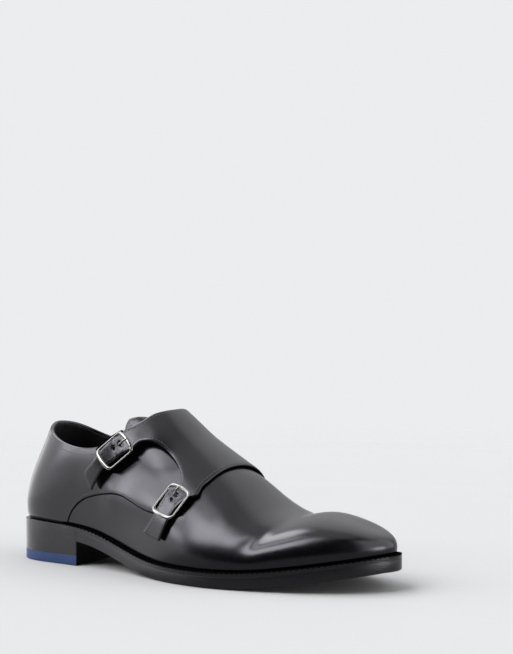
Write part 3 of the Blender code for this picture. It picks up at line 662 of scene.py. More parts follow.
def window(tree, value, low, high, soft):
    """1 between two values, with soft edges."""
    rise = spread(tree, value, low - soft / 2, low + soft / 2, 0.0, 1.0)
    fall = spread(tree, value, high - soft / 2, high + soft / 2, 1.0, 0.0)
    return maths(tree, "MULTIPLY", rise, fall)


def noise(tree, vector, scale, detail=3.0, rough=0.5):
    """Output of a Noise Texture node."""
    node = add(tree, "ShaderNodeTexNoise", {"Vector": vector, "Scale": scale, "Detail": detail,
                                            "Roughness": rough})
    return node.outputs["Fac"]


def bearing_of(tree, place):
    """Bearing of a place in degrees, from the outer side towards the heel, and its X, Y and Z."""
    way = add(tree, "ShaderNodeSeparateXYZ", {"Vector": place}).outputs
    back, outer = (maths(tree, "MULTIPLY", way[axis], -1.0) for axis in "XY")
    turn = maths(tree, "ARCTAN2", back, outer)
    return maths(tree, "MULTIPLY", turn, 180.0 / math.pi), way


def grain_group():
    """Leather surface: fine pores, pebbling and the slow waves of a lasted skin."""
    group, start, end = new_group(
        "leather_grain",
        (("Vector", "NodeSocketVector", None), ("Pore Scale", "NodeSocketFloat", 1500.0),
         ("Pores", "NodeSocketFloat", 0.2), ("Waves", "NodeSocketFloat", 0.5)),
        (("Height", "NodeSocketFloat"), ("Mask", "NodeSocketFloat")))
    vector, scale = start.outputs["Vector"], start.outputs["Pore Scale"]
    cells = add(group, "ShaderNodeTexVoronoi", {"Vector": vector, "Scale": scale},
                feature="SMOOTH_F1", distance="EUCLIDEAN").outputs["Distance"]
    pores = maths(group, "ADD", cells, noise(group, vector, 2600.0, 2.0))
    slow = noise(group, vector, 38.0, 2.0)
    middle = noise(group, vector, 120.0, 3.0)
    waves = maths(group, "ADD", slow, maths(group, "MULTIPLY", middle, 0.22))
    height = maths(group, "ADD", maths(group, "MULTIPLY", pores, start.outputs["Pores"]),
                   maths(group, "MULTIPLY", waves, start.outputs["Waves"]))
    group.links.new(height, end.inputs["Height"])
    mask = spread(group, noise(group, vector, 520.0, 5.0, 0.65), 0.35, 0.7, 0.0, 1.0)
    group.links.new(mask, end.inputs["Mask"])
    return group


def scuff_group():
    """Faint hairline marks and finger dulling, as a mask."""
    group, start, end = new_group(
        "polish_marks",
        (("Vector", "NodeSocketVector", None), ("Amount", "NodeSocketFloat", 0.3)),
        (("Mask", "NodeSocketFloat"),))
    vector = start.outputs["Vector"]
    stretched = add(group, "ShaderNodeMapping", {"Vector": vector, "Scale": (0.18, 1.0, 1.0),
                                                 "Rotation": (0.3, 0.2, 0.5)}).outputs["Vector"]
    lines = noise(group, stretched, 900.0, 3.0, 0.6)
    thin = spread(group, lines, 0.64, 0.74, 0.0, 1.0)
    cloud = spread(group, noise(group, vector, 60.0, 3.0), 0.45, 0.75, 0.0, 1.0)
    both = maths(group, "ADD", maths(group, "MULTIPLY", thin, 0.6), maths(group, "MULTIPLY", cloud, 0.6))
    group.links.new(maths(group, "MULTIPLY", both, start.outputs["Amount"], clamp=True),
                    end.inputs["Mask"])
    return group


def dust_group():
    """Fine specks that lie on a dull surface."""
    group, start, end = new_group(
        "fine_dust",
        (("Vector", "NodeSocketVector", None), ("Amount", "NodeSocketFloat", 0.2)),
        (("Mask", "NodeSocketFloat"),))
    vector = start.outputs["Vector"]
    specks = add(group, "ShaderNodeTexVoronoi", {"Vector": vector, "Scale": 700.0},
                 feature="F1").outputs["Distance"]
    spots = spread(group, specks, 0.0, 0.16, 1.0, 0.0)
    patches = spread(group, noise(group, vector, 90.0, 2.0), 0.5, 0.8, 0.0, 1.0)
    mask = maths(group, "MULTIPLY", maths(group, "MULTIPLY", spots, patches),
                 start.outputs["Amount"], clamp=True)
    group.links.new(mask, end.inputs["Mask"])
    return group


def shared_group(name):
    """A shader group, made the first time it is asked for."""
    makers = {"leather_grain": grain_group, "polish_marks": scuff_group, "fine_dust": dust_group}
    return bpy.data.node_groups.get(name) or makers[name]()


def new_material(name):
    """Material with its Principled shader and an Object coordinate socket."""
    made = bpy.data.materials.new(name)
    made.use_nodes = True
    tree = made.node_tree
    shader = tree.nodes["Principled BSDF"]
    place = add(tree, "ShaderNodeTexCoord").outputs["Object"]
    return made, tree, shader, place


def use_group(tree, name, **inputs):
    """Outputs of a shader group; an underscore in a keyword stands for a space."""
    node = tree.nodes.new("ShaderNodeGroup")
    node.node_tree = shared_group(name)
    for key, value in inputs.items():
        feed(tree, node.inputs[key.replace("_", " ")], value)
    return node.outputs


def shade(colour, gain=1.0, lift=0.0):
    """A colour with alpha 1, brighter or darker by a factor and an addition."""
    return (*(gain * c + lift for c in colour[:3]), 1)


def mix_colour(tree, factor, a, b):
    """Output of a Mix node set to colour, whose sockets share their names with those of other kinds."""
    node = add(tree, "ShaderNodeMix", data_type="RGBA")
    for number, value in ((0, factor), (6, a), (7, b)):
        feed(tree, node.inputs[number], value)
    return node.outputs[2]


def bump(tree, shader, height, distance):
    """Bumps a shader's surface; distance is in metres."""
    node = add(tree, "ShaderNodeBump", {"Height": height, "Distance": distance, "Strength": 1.0})
    tree.links.new(node.outputs["Normal"], shader.inputs["Normal"])


def edge_paint(name, shine=0.3):
    """Matt black paint on a cut leather edge; also laid as painted shade on the seam lip, the heel's breast,
    the welt's top and the buckle tabs.
    """
    made, tree, shader, place = new_material(name)
    grain = use_group(tree, "leather_grain", Vector=place, Pore_Scale=1800.0, Pores=0.8, Waves=0.2)
    tree.links.new(mix_colour(tree, grain["Mask"], (0.0006, 0.0006, 0.0007, 1), (0.0014, 0.0014, 0.0015, 1)),
                   shader.inputs["Base Color"])
    tree.links.new(spread(tree, grain["Mask"], 0.0, 1.0, 0.55, 0.75), shader.inputs["Roughness"])
    shader.inputs["IOR"].default_value = 1.22
    shader.inputs["Specular IOR Level"].default_value = shine
    bump(tree, shader, grain["Height"], 0.0002)
    return made


def polished_leather(name, colour, rough=(0.15, 0.19), pores=0.05, waves=0.5, marks=0.2, index=1.4):
    """Box calf with a waxed shine: fine pores, slow waves and faint polish marks."""
    made, tree, shader, place = new_material(name)
    grain = use_group(tree, "leather_grain", Vector=place, Pore_Scale=2600.0, Pores=pores, Waves=waves)
    scuffs = use_group(tree, "polish_marks", Vector=place, Amount=marks)
    tree.links.new(mix_colour(tree, grain["Mask"], shade(colour), shade(colour, 1.5, 0.0004)),
                   shader.inputs["Base Color"])
    base = spread(tree, grain["Mask"], 0.0, 1.0, rough[0], rough[1])
    tree.links.new(maths(tree, "ADD", base, maths(tree, "MULTIPLY", scuffs["Mask"], 0.06)),
                   shader.inputs["Roughness"])
    shader.inputs["IOR"].default_value = index
    shader.inputs["Specular Tint"].default_value = (0.97, 0.955, 1.06, 1.0)
    bump(tree, shader, grain["Height"], 0.0002)
    return made


def dull_leather(name, colour, rough=(0.55, 0.75), pores=0.5, dust=0.25):
    """Unpolished lining or flesh-side leather."""
    made, tree, shader, place = new_material(name)
    grain = use_group(tree, "leather_grain", Vector=place, Pore_Scale=1100.0, Pores=pores, Waves=0.4)
    specks = use_group(tree, "fine_dust", Vector=place, Amount=dust)
    tone = mix_colour(tree, grain["Mask"], shade(colour), shade(colour, 2.2, 0.0006))
    tree.links.new(mix_colour(tree, specks["Mask"], tone, (0.02, 0.019, 0.018, 1)),
                   shader.inputs["Base Color"])
    tree.links.new(spread(tree, grain["Mask"], 0.0, 1.0, *rough), shader.inputs["Roughness"])
    shader.inputs["IOR"].default_value = 1.3
    bump(tree, shader, grain["Height"], 0.0004)
    return made


def sole_edge_finish(name, colour):
    """Stained and burnished edge of the sole leather, its fibres running level."""
    made, tree, shader, place = new_material(name)
    grain = use_group(tree, "leather_grain", Vector=place, Pore_Scale=1700.0, Pores=0.5, Waves=0.5)
    specks = use_group(tree, "fine_dust", Vector=place, Amount=0.3)
    flat = add(tree, "ShaderNodeMapping", {"Vector": place, "Scale": (0.05, 0.05, 1.0)}).outputs["Vector"]
    fibres = noise(tree, flat, 2400.0, 3.0, 0.6)
    tone = mix_colour(tree, spread(tree, fibres, 0.3, 0.7, 0.0, 1.0), shade(colour),
                      shade(colour, 1.3, 0.0006))
    tree.links.new(mix_colour(tree, specks["Mask"], tone, (0.012, 0.012, 0.012, 1)),
                   shader.inputs["Base Color"])
    tree.links.new(spread(tree, grain["Mask"], 0.0, 1.0, 0.17, 0.25), shader.inputs["Roughness"])
    shader.inputs["IOR"].default_value = 1.4
    shader.inputs["Specular Tint"].default_value = (0.98, 0.95, 1.0, 1.0)
    height = maths(tree, "ADD", grain["Height"], maths(tree, "MULTIPLY", fibres, 0.6))
    bump(tree, shader, height, 0.00012)
    return made


def sole_underside(name, colour):
    """Flat underside of the leather sole: close grain with light rubbing."""
    made, tree, shader, place = new_material(name)
    grain = use_group(tree, "leather_grain", Vector=place, Pore_Scale=900.0, Pores=0.6, Waves=0.3)
    rubs = use_group(tree, "polish_marks", Vector=place, Amount=0.9)
    tone = mix_colour(tree, grain["Mask"], shade(colour), shade(colour, 1.5))
    tree.links.new(mix_colour(tree, rubs["Mask"], tone, (0.04, 0.037, 0.035, 1)),
                   shader.inputs["Base Color"])
    tree.links.new(spread(tree, rubs["Mask"], 0.0, 1.0, 0.42, 0.7), shader.inputs["Roughness"])
    bump(tree, shader, grain["Height"], 0.0002)
    return made


def rubber(name, colour):
    """Blue heel rubber: matt, slightly mottled, with a fine moulded grain."""
    made, tree, shader, place = new_material(name)
    grain = use_group(tree, "leather_grain", Vector=place, Pore_Scale=2400.0, Pores=0.6, Waves=0.2)
    specks = use_group(tree, "fine_dust", Vector=place, Amount=0.5)
    tone = mix_colour(tree, grain["Mask"], shade(colour), shade(colour, 0.8))
    tree.links.new(mix_colour(tree, specks["Mask"], tone, (0.02, 0.03, 0.06, 1)),
                   shader.inputs["Base Color"])
    tree.links.new(spread(tree, grain["Mask"], 0.0, 1.0, 0.5, 0.68), shader.inputs["Roughness"])
    shader.inputs["IOR"].default_value = 1.35
    bump(tree, shader, grain["Height"], 0.00015)
    return made


def bright_metal(name, colour, rough):
    """Polished nickel with fine hairlines. Mirrored in the leather it doesn't show."""
    made, tree, shader, place = new_material(name)
    scuffs = use_group(tree, "polish_marks", Vector=place, Amount=0.8)
    shader.inputs["Metallic"].default_value = 1.0
    tone = mix_colour(tree, scuffs["Mask"], shade(colour), shade(colour, 0.8))
    mirrored = add(tree, "ShaderNodeLightPath").outputs["Is Glossy Ray"]
    tree.links.new(tone, shader.inputs["Base Color"])
    tree.links.new(maths(tree, "SUBTRACT", 1.0, mirrored), shader.inputs["Alpha"])
    tree.links.new(spread(tree, scuffs["Mask"], 0.0, 1.0, rough, rough + 0.2),
                   shader.inputs["Roughness"])
    bump(tree, shader, noise(tree, place, 700.0, 3.0), 0.00003)
    return made


def thread(name, colour, index=1.5):
    """Waxed thread: two twisted plies."""
    made, tree, shader, place = new_material(name)
    twist = add(tree, "ShaderNodeTexWave", {"Vector": place, "Scale": 900.0, "Distortion": 1.0},
                bands_direction="DIAGONAL").outputs["Fac"]
    tree.links.new(mix_colour(tree, twist, shade(colour), shade(colour, 2.0, 0.002)),
                   shader.inputs["Base Color"])
    tree.links.new(spread(tree, twist, 0.0, 1.0, 0.45, 0.6), shader.inputs["Roughness"])
    shader.inputs["IOR"].default_value = index
    bump(tree, shader, twist, 0.0001)
    return made


# Painted reflection: the floor as the leather mirrors it goes, between two bearings, from the one painted
# shade to the other
REFLECTION_SHADE_BEARINGS = (30, 50)
REFLECTION_SHADES = (0.6, 1.9)
FLOOR_FADE = (0.55, 1.6)    # metres from the middle over which the floor fades out


def floor_finish(name, colour):
    """Plain pale paper floor that fades out with distance. In the leather it shows as a painted reflection:
    darker towards the toe and the outer side, brighter towards the heel.
    """
    made, tree, shader, place = new_material(name)
    fleck = noise(tree, place, 9.0, 2.0)
    paper = mix_colour(tree, fleck, shade(colour), shade(colour, 0.985))
    mirrored = add(tree, "ShaderNodeLightPath").outputs["Is Glossy Ray"]
    bearing, _ = bearing_of(tree, place)
    # painted reflection: mirrored rays see the floor in a shade set by bearing, not its own colour
    painted_reflection = spread(tree, bearing, *REFLECTION_SHADE_BEARINGS, *(share * colour[0] for share in REFLECTION_SHADES))
    tree.links.new(mix_colour(tree, mirrored, paper, painted_reflection), shader.inputs["Base Color"])
    shader.inputs["Roughness"].default_value = 0.8
    shader.inputs["Specular IOR Level"].default_value = 0.1
    away = add(tree, "ShaderNodeVectorMath", {0: place}, operation="LENGTH").outputs["Value"]
    tree.links.new(spread(tree, away, *FLOOR_FADE, 1.0, 0.0), shader.inputs["Alpha"])
    return made


# ---- stitches ------------------------------------------------------------------------------------
def stitch_tree():
    """Geometry nodes: one thread loop on every point, laid by the points' own directions."""
    tree = bpy.data.node_groups.new("stitch_row", "GeometryNodeTree")
    for label, kind, value in (("Geometry", "NodeSocketGeometry", None),
                               ("Stitch Length", "NodeSocketFloat", 0.0019),
                               ("Thread", "NodeSocketFloat", 0.0005),
                               ("Unevenness", "NodeSocketFloat", 0.06),
                               ("Seed", "NodeSocketInt", 3),
                               ("Finish", "NodeSocketMaterial", None)):
        socket = tree.interface.new_socket(label, in_out="INPUT", socket_type=kind)
        if value is not None:
            socket.default_value = value
    tree.interface.new_socket("Geometry", in_out="OUTPUT", socket_type="NodeSocketGeometry")
    start = tree.nodes.new("NodeGroupInput").outputs
    end = tree.nodes.new("NodeGroupOutput")
    half = maths(tree, "MULTIPLY", start["Stitch Length"], 0.5)
    thick = maths(tree, "MULTIPLY", start["Thread"], 0.5)
    scale = add(tree, "ShaderNodeCombineXYZ", {"X": half, "Y": thick, "Z": thick}).outputs["Vector"]
    ball = add(tree, "GeometryNodeMeshUVSphere", {"Segments": 8, "Rings": 7, "Radius": 1.0})
    lying = add(tree, "GeometryNodeTransform", {"Geometry": ball.outputs["Mesh"],
                                                "Rotation": (0.0, math.pi / 2, 0.0)})
    loop = add(tree, "GeometryNodeTransform", {"Geometry": lying.outputs["Geometry"], "Scale": scale})
    along = add(tree, "GeometryNodeInputNamedAttribute", {"Name": "run"}, data_type="FLOAT_VECTOR")
    up = add(tree, "GeometryNodeInputNamedAttribute", {"Name": "rise"}, data_type="FLOAT_VECTOR")
    first = add(tree, "FunctionNodeAlignRotationToVector", {"Vector": along.outputs["Attribute"]}, axis="X")
    second = add(tree, "FunctionNodeAlignRotationToVector",
                 {"Rotation": first.outputs["Rotation"], "Vector": up.outputs["Attribute"]},
                 axis="Z", pivot_axis="X")
    swing = add(tree, "FunctionNodeRandomValue", {"Seed": start["Seed"]}, data_type="FLOAT_VECTOR")
    low = add(tree, "ShaderNodeCombineXYZ", {"Z": maths(tree, "MULTIPLY", start["Unevenness"], -1.0)})
    high = add(tree, "ShaderNodeCombineXYZ", {"Z": start["Unevenness"]})
    tree.links.new(low.outputs["Vector"], swing.inputs["Min"])
    tree.links.new(high.outputs["Vector"], swing.inputs["Max"])
    turned = add(tree, "FunctionNodeRotateRotation", {"Rotation": second.outputs["Rotation"]},
                 rotation_space="LOCAL")
    tree.links.new(swing.outputs["Value"], turned.inputs["Rotate By"])
    placed = add(tree, "GeometryNodeInstanceOnPoints",
                 {"Points": start["Geometry"], "Instance": loop.outputs["Geometry"],
                  "Rotation": turned.outputs["Rotation"]})
    solid = add(tree, "GeometryNodeRealizeInstances", {"Geometry": placed.outputs["Instances"]})
    smooth = add(tree, "GeometryNodeSetShadeSmooth", {"Geometry": solid.outputs["Geometry"]})
    done = add(tree, "GeometryNodeSetMaterial",
               {"Geometry": smooth.outputs["Geometry"], "Material": start["Finish"]})
    tree.links.new(done.outputs["Geometry"], end.inputs["Geometry"])
    return tree


def sew(name, lines, finish, pitch, length=None, thick=0.45, sink=0.1, unevenness=0.06, seed=3):
    """Row of stitches along lines of points with their upward directions, as one plain mesh.

    lines is a list of (points, ups) in drawing millimetres, sink how deep the thread lies and
    unevenness how far a stitch may turn off its line.
    """
    spots, runs, rises = [], [], []
    for points, ups in lines:
        reach = reach_along(points)
        count = max(2, round(reach[-1] / pitch))
        t = (np.arange(count) + 0.5) * reach[-1] / count
        up = at_reach(ups, reach, t)
        up /= np.linalg.norm(up, axis=1)[:, None]
        spots.append(at_reach(points, reach, t) - up * sink)
        runs.append(at_reach(points, reach, t + 0.3) - at_reach(points, reach, t - 0.3))
        rises.append(up)
    spots, runs, rises = (np.concatenate(each) for each in (spots, runs, rises))
    mesh = bpy.data.meshes.new(f"{name}_points")
    mesh.from_pydata(((spots + SHIFT) * MM).tolist(), [], [])
    for label, values in (("run", runs), ("rise", rises)):
        attribute = mesh.attributes.new(label, "FLOAT_VECTOR", "POINT")
        attribute.data.foreach_set("vector", values.astype(np.float32).ravel())
    carrier = bpy.data.objects.new(f"{name}_points", mesh)
    bpy.context.scene.collection.objects.link(carrier)
    nodes = carrier.modifiers.new("stitches", "NODES")
    nodes.node_group = bpy.data.node_groups.get("stitch_row") or stitch_tree()
    values = {"Stitch Length": (0.86 * pitch if length is None else length) * MM, "Thread": thick * MM,
              "Unevenness": unevenness, "Seed": seed, "Finish": finish}
    for socket in nodes.node_group.interface.items_tree:
        if socket.in_out == "INPUT" and socket.name in values:
            nodes[socket.identifier] = values[socket.name]
    bpy.context.view_layer.update()
    shapes = bpy.context.evaluated_depsgraph_get()
    plain = bpy.data.meshes.new_from_object(carrier.evaluated_get(shapes), depsgraph=shapes)
    bpy.data.objects.remove(carrier)
    for label in ("run", "rise"):
        if label in plain.attributes:
            plain.attributes.remove(plain.attributes[label])
    plain.name = name
    made = bpy.data.objects.new(name, plain)
    bpy.context.scene.collection.objects.link(made)
    return made


def chart_line(places, height):
    """Points above the last along chart places, and the outward directions there."""
    x, girth = np.asarray(places, float).T
    ground, above = off_last(x, girth, 0 * x), off_last(x, girth, 0 * x + 1)
    return off_last(x, girth, np.broadcast_to(height, x.shape)), above - ground


# ---- upper ---------------------------------------------------------------------------------------
SEAM = ((59.4, 102), (61.4, 98), (64.6, 94), (68.3, 91.5), (72.3, 89.7), (77, 88.3), (82, 87.4),
        (88, 86), (95.6, 83.8), (104.7, 80.5), (114, 78), (124, 77), (134, 75), (139, 73.7),
        (147, 71), (155, 66), (163, 54))
QUARTER = 0.8           # how far the quarters stand above the vamp
SEAM_SHADE_LIP = 0.6          # black lip along the seam, painted shade of the gap
LIP_HEIGHTS = (0.07, 0.05, -0.35)   # foot of a layer's rounded edge, and the black lip beyond it, painted shade of the seam
LAYER_DEPTH = 0.4       # how deep a layer's underside lies in the shell
SHELL_ROWS = 64         # rows of the shell from the collar edge to its lower edge
COLLAR_RADIUS = 1.36    # rolled edge of the collar and throat
COLLAR_END = 6.2        # rib, under the saddle, where the rolled edge runs out
SEAM_SEWING = 2.2       # from the seam up to its sewing
COLLAR_SEWING = 3.4     # from the collar edge down to its sewing


def shell_points(k, girth):
    """Points of the last on ribs k at girths down from the ridge, one column for each rib.

    Past the feather edge a column goes on down and leans in behind the welt.
    """
    lengths = rib_lines(k)[1]
    steps = np.linspace(1, 0, RIB_STEPS)
    share = np.stack([np.interp(g, length[1:], steps) for g, length in zip(girth.T, lengths)], axis=1)
    points = on_rib(k[None, :], share)
    beyond = np.maximum(girth - lengths[:, -1], 0)
    points[..., :2] -= outward(row_at(k)[1])[None] * 0.35 * beyond[..., None]
    points[..., 2] -= beyond
    return points


def grid_normals(points, closed=False):
    """Outward unit normals of a grid whose rows run down the last and columns round it."""
    if closed:
        by_k = np.roll(points, -1, axis=1) - np.roll(points, 1, axis=1)
    else:
        by_k = np.gradient(points, axis=1)
    normals = np.cross(np.gradient(points, axis=0), by_k)
    return normals / np.maximum(np.linalg.norm(normals, axis=2, keepdims=True), 1e-9)


def collar_girth(k):
    """Girth of the collar or throat edge on ribs k; 0 where the vamp is closed over the ridge."""
    lines, lengths = rib_lines(k)
    heights = row_at(k)[0][:, -1]
    cut = np.array([np.interp(z, line[::-1, 2], length[::-1])
                    for z, line, length in zip(heights, lines, lengths)])
    return np.where(cut < 0.8, 0, cut)


def foot_girth(k):
    """Girth of the upper's lower edge on ribs k, behind the welt."""
    return rib_lines(k)[1][:, -1] + welt_depth(row_at(k)[0][:, 0])


TOE_START = (214, 13)       # length of the toe's start at the sides, and how much more it is on top
TOE_DIP = (0.85, 6.5)       # hollow across the toe's start: depth, half length
TOE_SWELL = (0.3, 17, 10.0)     # the toe's swell: height, distance beyond the start, half length
FLEX = (0.13, 196, 13.0)    # creases where the shoe bends: depth, length of their middle, half length
SIDE_LEAN = (1.3, 2.5)      # the outer quarter: swell low down, and how far it leans in above
TUCK = (1.15, 2.4)          # turn under itself at the feather edge: depth, distance above the edge


def skin_offset(k, girth, points):
    """How far the lasted skin lies off the plain last: creases, the swell of the seam, the tuck.

    The vamp dips at the start of the toe and the toe swells beyond it. On the outer side the
    quarter leans in above its seam. Near the feather edge the skin turns in under itself.
    """
    x, y, z = points[..., 0], points[..., 1], points[..., 2]
    over = ease(z, 16, 30)
    start = TOE_START[0] + TOE_START[1] * ease(z, 22, 42)
    depth, half = TOE_DIP
    dip = -depth * hill(x - start, half) * over
    height, beyond, half = TOE_SWELL
    swell = height * hill(x - start - beyond, half) * over
    depth, middle, half = FLEX
    bend = depth * np.sin((x - 0.25 * np.abs(y)) / 4.6) * hill(x - middle, half) * ease(z, 26, 42)
    outer = (y < 0) * ease(x, 86, 104) * (1 - ease(x, 150, 168))
    lean = (SIDE_LEAN[0] * ease(z, 30, 46) - SIDE_LEAN[1] * ease(z, 46, 70)) * outer
    edge = rib_lines(k)[1][:, -1] + 0.2 - girth
    tuck = -TUCK[0] * np.clip(1 - edge / TUCK[1], 0, 1) ** 2
    return dip + swell + bend + lean + tuck


def build_shell(outer, inner):
    """Vamp and quarters as one wall with its lining."""
    k = np.arange(0, ROUND, 0.05)
    top, foot = collar_girth(k), foot_girth(k)
    t = np.sin(np.linspace(0, math.pi / 2, SHELL_ROWS))[:, None]
    girth = top * (1 - t) + foot * t
    points = shell_points(k, girth)
    points = points + grid_normals(points, closed=True) * skin_offset(k, girth, points)[..., None]
    made = make_object("upper_shell", points, grid_faces(len(girth), len(k), closed=True), (outer, inner))
    shape = bmesh.new()
    shape.from_mesh(made.data)
    weld(shape, 0.00003, 0.00001)
    outside = max(shape.faces, key=lambda face: face.calc_center_median().x)
    bmesh.ops.recalc_face_normals(shape, faces=shape.faces)
    if outside.normal.x < 0:
        bmesh.ops.reverse_faces(shape, faces=shape.faces)
    shape.to_mesh(made.data)
    shape.free()
    wall = made.modifiers.new("wall", "SOLIDIFY")
    wall.thickness = UPPER_WALL * MM
    wall.offset = -1.0
    wall.use_even_offset = True
    wall.material_offset = 1
    shapes = bpy.context.evaluated_depsgraph_get()
    solid = bpy.data.meshes.new_from_object(made.evaluated_get(shapes), depsgraph=shapes)
    made.modifiers.clear()
    made.data = solid
    return settle(made, "black_leather", "upper")


def overlay(name, k, top, bottom, rise, finish, paint, rows=30):
    """Closed leather layer over the shell between two girths on each rib.

    Its lower edge is rounded and painted black, edge ink that also stands in for the step's shade, and a
    narrow lip painted black lies in the seam below it as painted shade.
    """
    turns = np.radians(np.linspace(0, 90, 6))[1:]
    inner = bottom - rise
    t = np.linspace(0, 1, rows)[:, None]
    roll = np.stack([inner + rise * math.sin(a) for a in turns])
    girth = np.concatenate([top * (1 - t) + inner * t, roll, [bottom + SEAM_SHADE_LIP], [bottom + SEAM_SHADE_LIP]])
    height = np.concatenate([np.full(rows, rise), rise * np.cos(turns[:-1]), LIP_HEIGHTS])
    ground = shell_points(k, girth)
    normals = grid_normals(ground)
    ground = ground + normals * skin_offset(k, girth, ground)[..., None]
    upper_side = ground + normals * height[:, None, None]
    lower_side = ground - normals * LAYER_DEPTH
    count, columns = girth.shape
    grid = grid_faces(count, columns)
    start = count * columns
    faces = grid + [tuple(v + start for v in reversed(face)) for face in grid]
    rim = list(range(columns)) + [r * columns + columns - 1 for r in range(1, count)]
    rim += [(count - 1) * columns + c for c in range(columns - 2, -1, -1)]
    rim += [r * columns for r in range(count - 2, 0, -1)]
    faces += [(b, a, a + start, b + start) for a, b in zip(rim, rim[1:] + rim[:1])]
    # rolled edge and lip take the black paint: edge ink, and painted shade of the seam
    painted = [int(face[0] // columns >= rows) for face in grid]
    picks = painted + [0] * len(grid) + [1] * len(rim)
    points = np.concatenate([upper_side.reshape(-1, 3), lower_side.reshape(-1, 3)])
    return make_object(name, points, faces, (finish, paint), picks, sharp=50)


def seam_girth(x):
    """Girth of the seam between quarter and vamp at lengths x."""
    line = through(SEAM, 1.0)
    return np.interp(x, line[:, 0], line[:, 1])


def quarter_columns(step=0.035):
    """Positions from the seam's end on the inner side round the heel to that on the outer side."""
    end = place_of(SEAM[-1][0])
    return np.linspace(-end, end, round(2 * end / step))


def build_quarters(finish, paint):
    """Quarters laid over the vamp, from one side of the instep round the heel to the other."""
    k = quarter_columns()
    x = row_at(k)[0][:, 0]
    foot = foot_girth(k)
    seam = np.where(x < SEAM[0][0], foot, np.minimum(foot, seam_girth(x)))
    made = overlay("quarters", k, collar_girth(k), seam, QUARTER, finish, paint)
    return settle(made, "black_leather")


def build_collar(finish):
    """Rolled edge of the collar and throat."""
    k = np.linspace(-COLLAR_END, COLLAR_END, 420)
    girth = collar_girth(k)[None, :] + np.array([[0.0], [2.0]])
    line = shell_points(k, girth)
    normals = grid_normals(line)[0]
    path = line[0] + normals * (QUARTER / 2 - UPPER_WALL / 2 + skin_offset(k, girth, line)[0][:, None])
    points, faces = tube_points(path, COLLAR_RADIUS, 16, up=normals)
    made = make_object("collar_edge", points, faces, (finish,))
    return settle(made, "black_leather")


def skin_line(k, girth):
    """Points on the quarters' face along ribs, and the outward directions there."""
    both = np.stack([girth, girth + 1])
    ground = shell_points(k, both)
    normals = grid_normals(ground)
    lift = skin_offset(k, both, ground)[0] + QUARTER
    return ground[0] + normals[0] * lift[:, None], normals[0]


def upper_lines():
    """Lines of sewing on the upper: above the seam on each side, and below the collar edge."""
    rows = []
    k = quarter_columns(0.02)
    x = row_at(k)[0][:, 0]
    seam = seam_girth(x)
    for side in (k > 0, k < 0):
        use = side & (x > SEAM[0][0] + 1.0)
        rows.append(skin_line(k[use], seam[use] - SEAM_SEWING))
    collar_k = np.linspace(-6.0, 6.0, 600)
    top = collar_girth(collar_k)
    rows.append(skin_line(collar_k, top + COLLAR_SEWING))
    return rows


# ---- tongue, saddle and straps -------------------------------------------------------------------
SADDLE_STEP = 0.9       # spacing of the points round the saddle
SADDLE_SEWING = 2.1     # from the saddle's edge in to its sewing
PAINTED_LEVELS = 4      # levels of its rounded edge, from the underside up, that are painted black: edge ink and painted shade of the edge
TONGUE_SEWING = 2.4     # from the tongue's edge in to its sewing
TONGUE_SHOWS = 124      # length as far as which the tongue is sewn; the rest lies under the vamp


def tongue_outline():
    """Closed outline of the tongue on the chart, the same on both sides of the ridge."""
    top = [(103, 28), (106, 25.5), (111, 20), (115, 12), (117, 0)]
    side = [(103, 28), (102.2, 34), (104, 42), (112, 42), (122, 36), (140, 25), (160, 13)]
    front = [(160, 13), (163.5, 6), (164, 0)]
    half = [through(line, 2.0) for line in (top[::-1], side, front)]
    outer = np.concatenate([half[0][:-1], half[1][:-1], half[2]])
    both = np.concatenate([outer, outer[-2:0:-1] * (1, -1)])
    return softened(spaced(both, 1.2, closed=True), 3)


def tongue_under(x, girth):
    """Height of the tongue's underside: below the upper, and sinking towards its free end."""
    sag = TONGUE_SAG * ease(126 - x, 0, 12) * (1 - ease(np.abs(girth), 8, 26))
    side = 0.6 * ease(np.abs(girth), 2, 12) + 0.5 * ease(-girth, 1, 9) * ease(x, 118, 134)
    return -(UPPER_WALL + FIT_GAP + TONGUE_THICKNESS + 0.9) - side - sag


def build_tongue(finish):
    """Tongue under the saddle, its free end standing in the shoe's opening."""
    points, faces = rounded_panel(tongue_outline(), tongue_under, TONGUE_THICKNESS, 1.8)
    made = make_object("tongue_flap", points, faces, (finish,))
    return settle(made, "black_leather", "tongue")


def tongue_sewing():
    """One line of sewing round the tongue's free end."""
    line = inset(tongue_outline(), TONGUE_SEWING)
    line = line[line[:, 0] < TONGUE_SHOWS]
    line = line[np.argsort(line[:, 1])]
    height = tongue_under(line[:, 0], line[:, 1]) + TONGUE_THICKNESS
    return [chart_line(line, height)]


def buckle_frame(which):
    """Turns places along and across a buckle's strap into chart places."""
    x, girth, *towards = BUCKLES[which]
    return strap_frame(x, girth, towards)


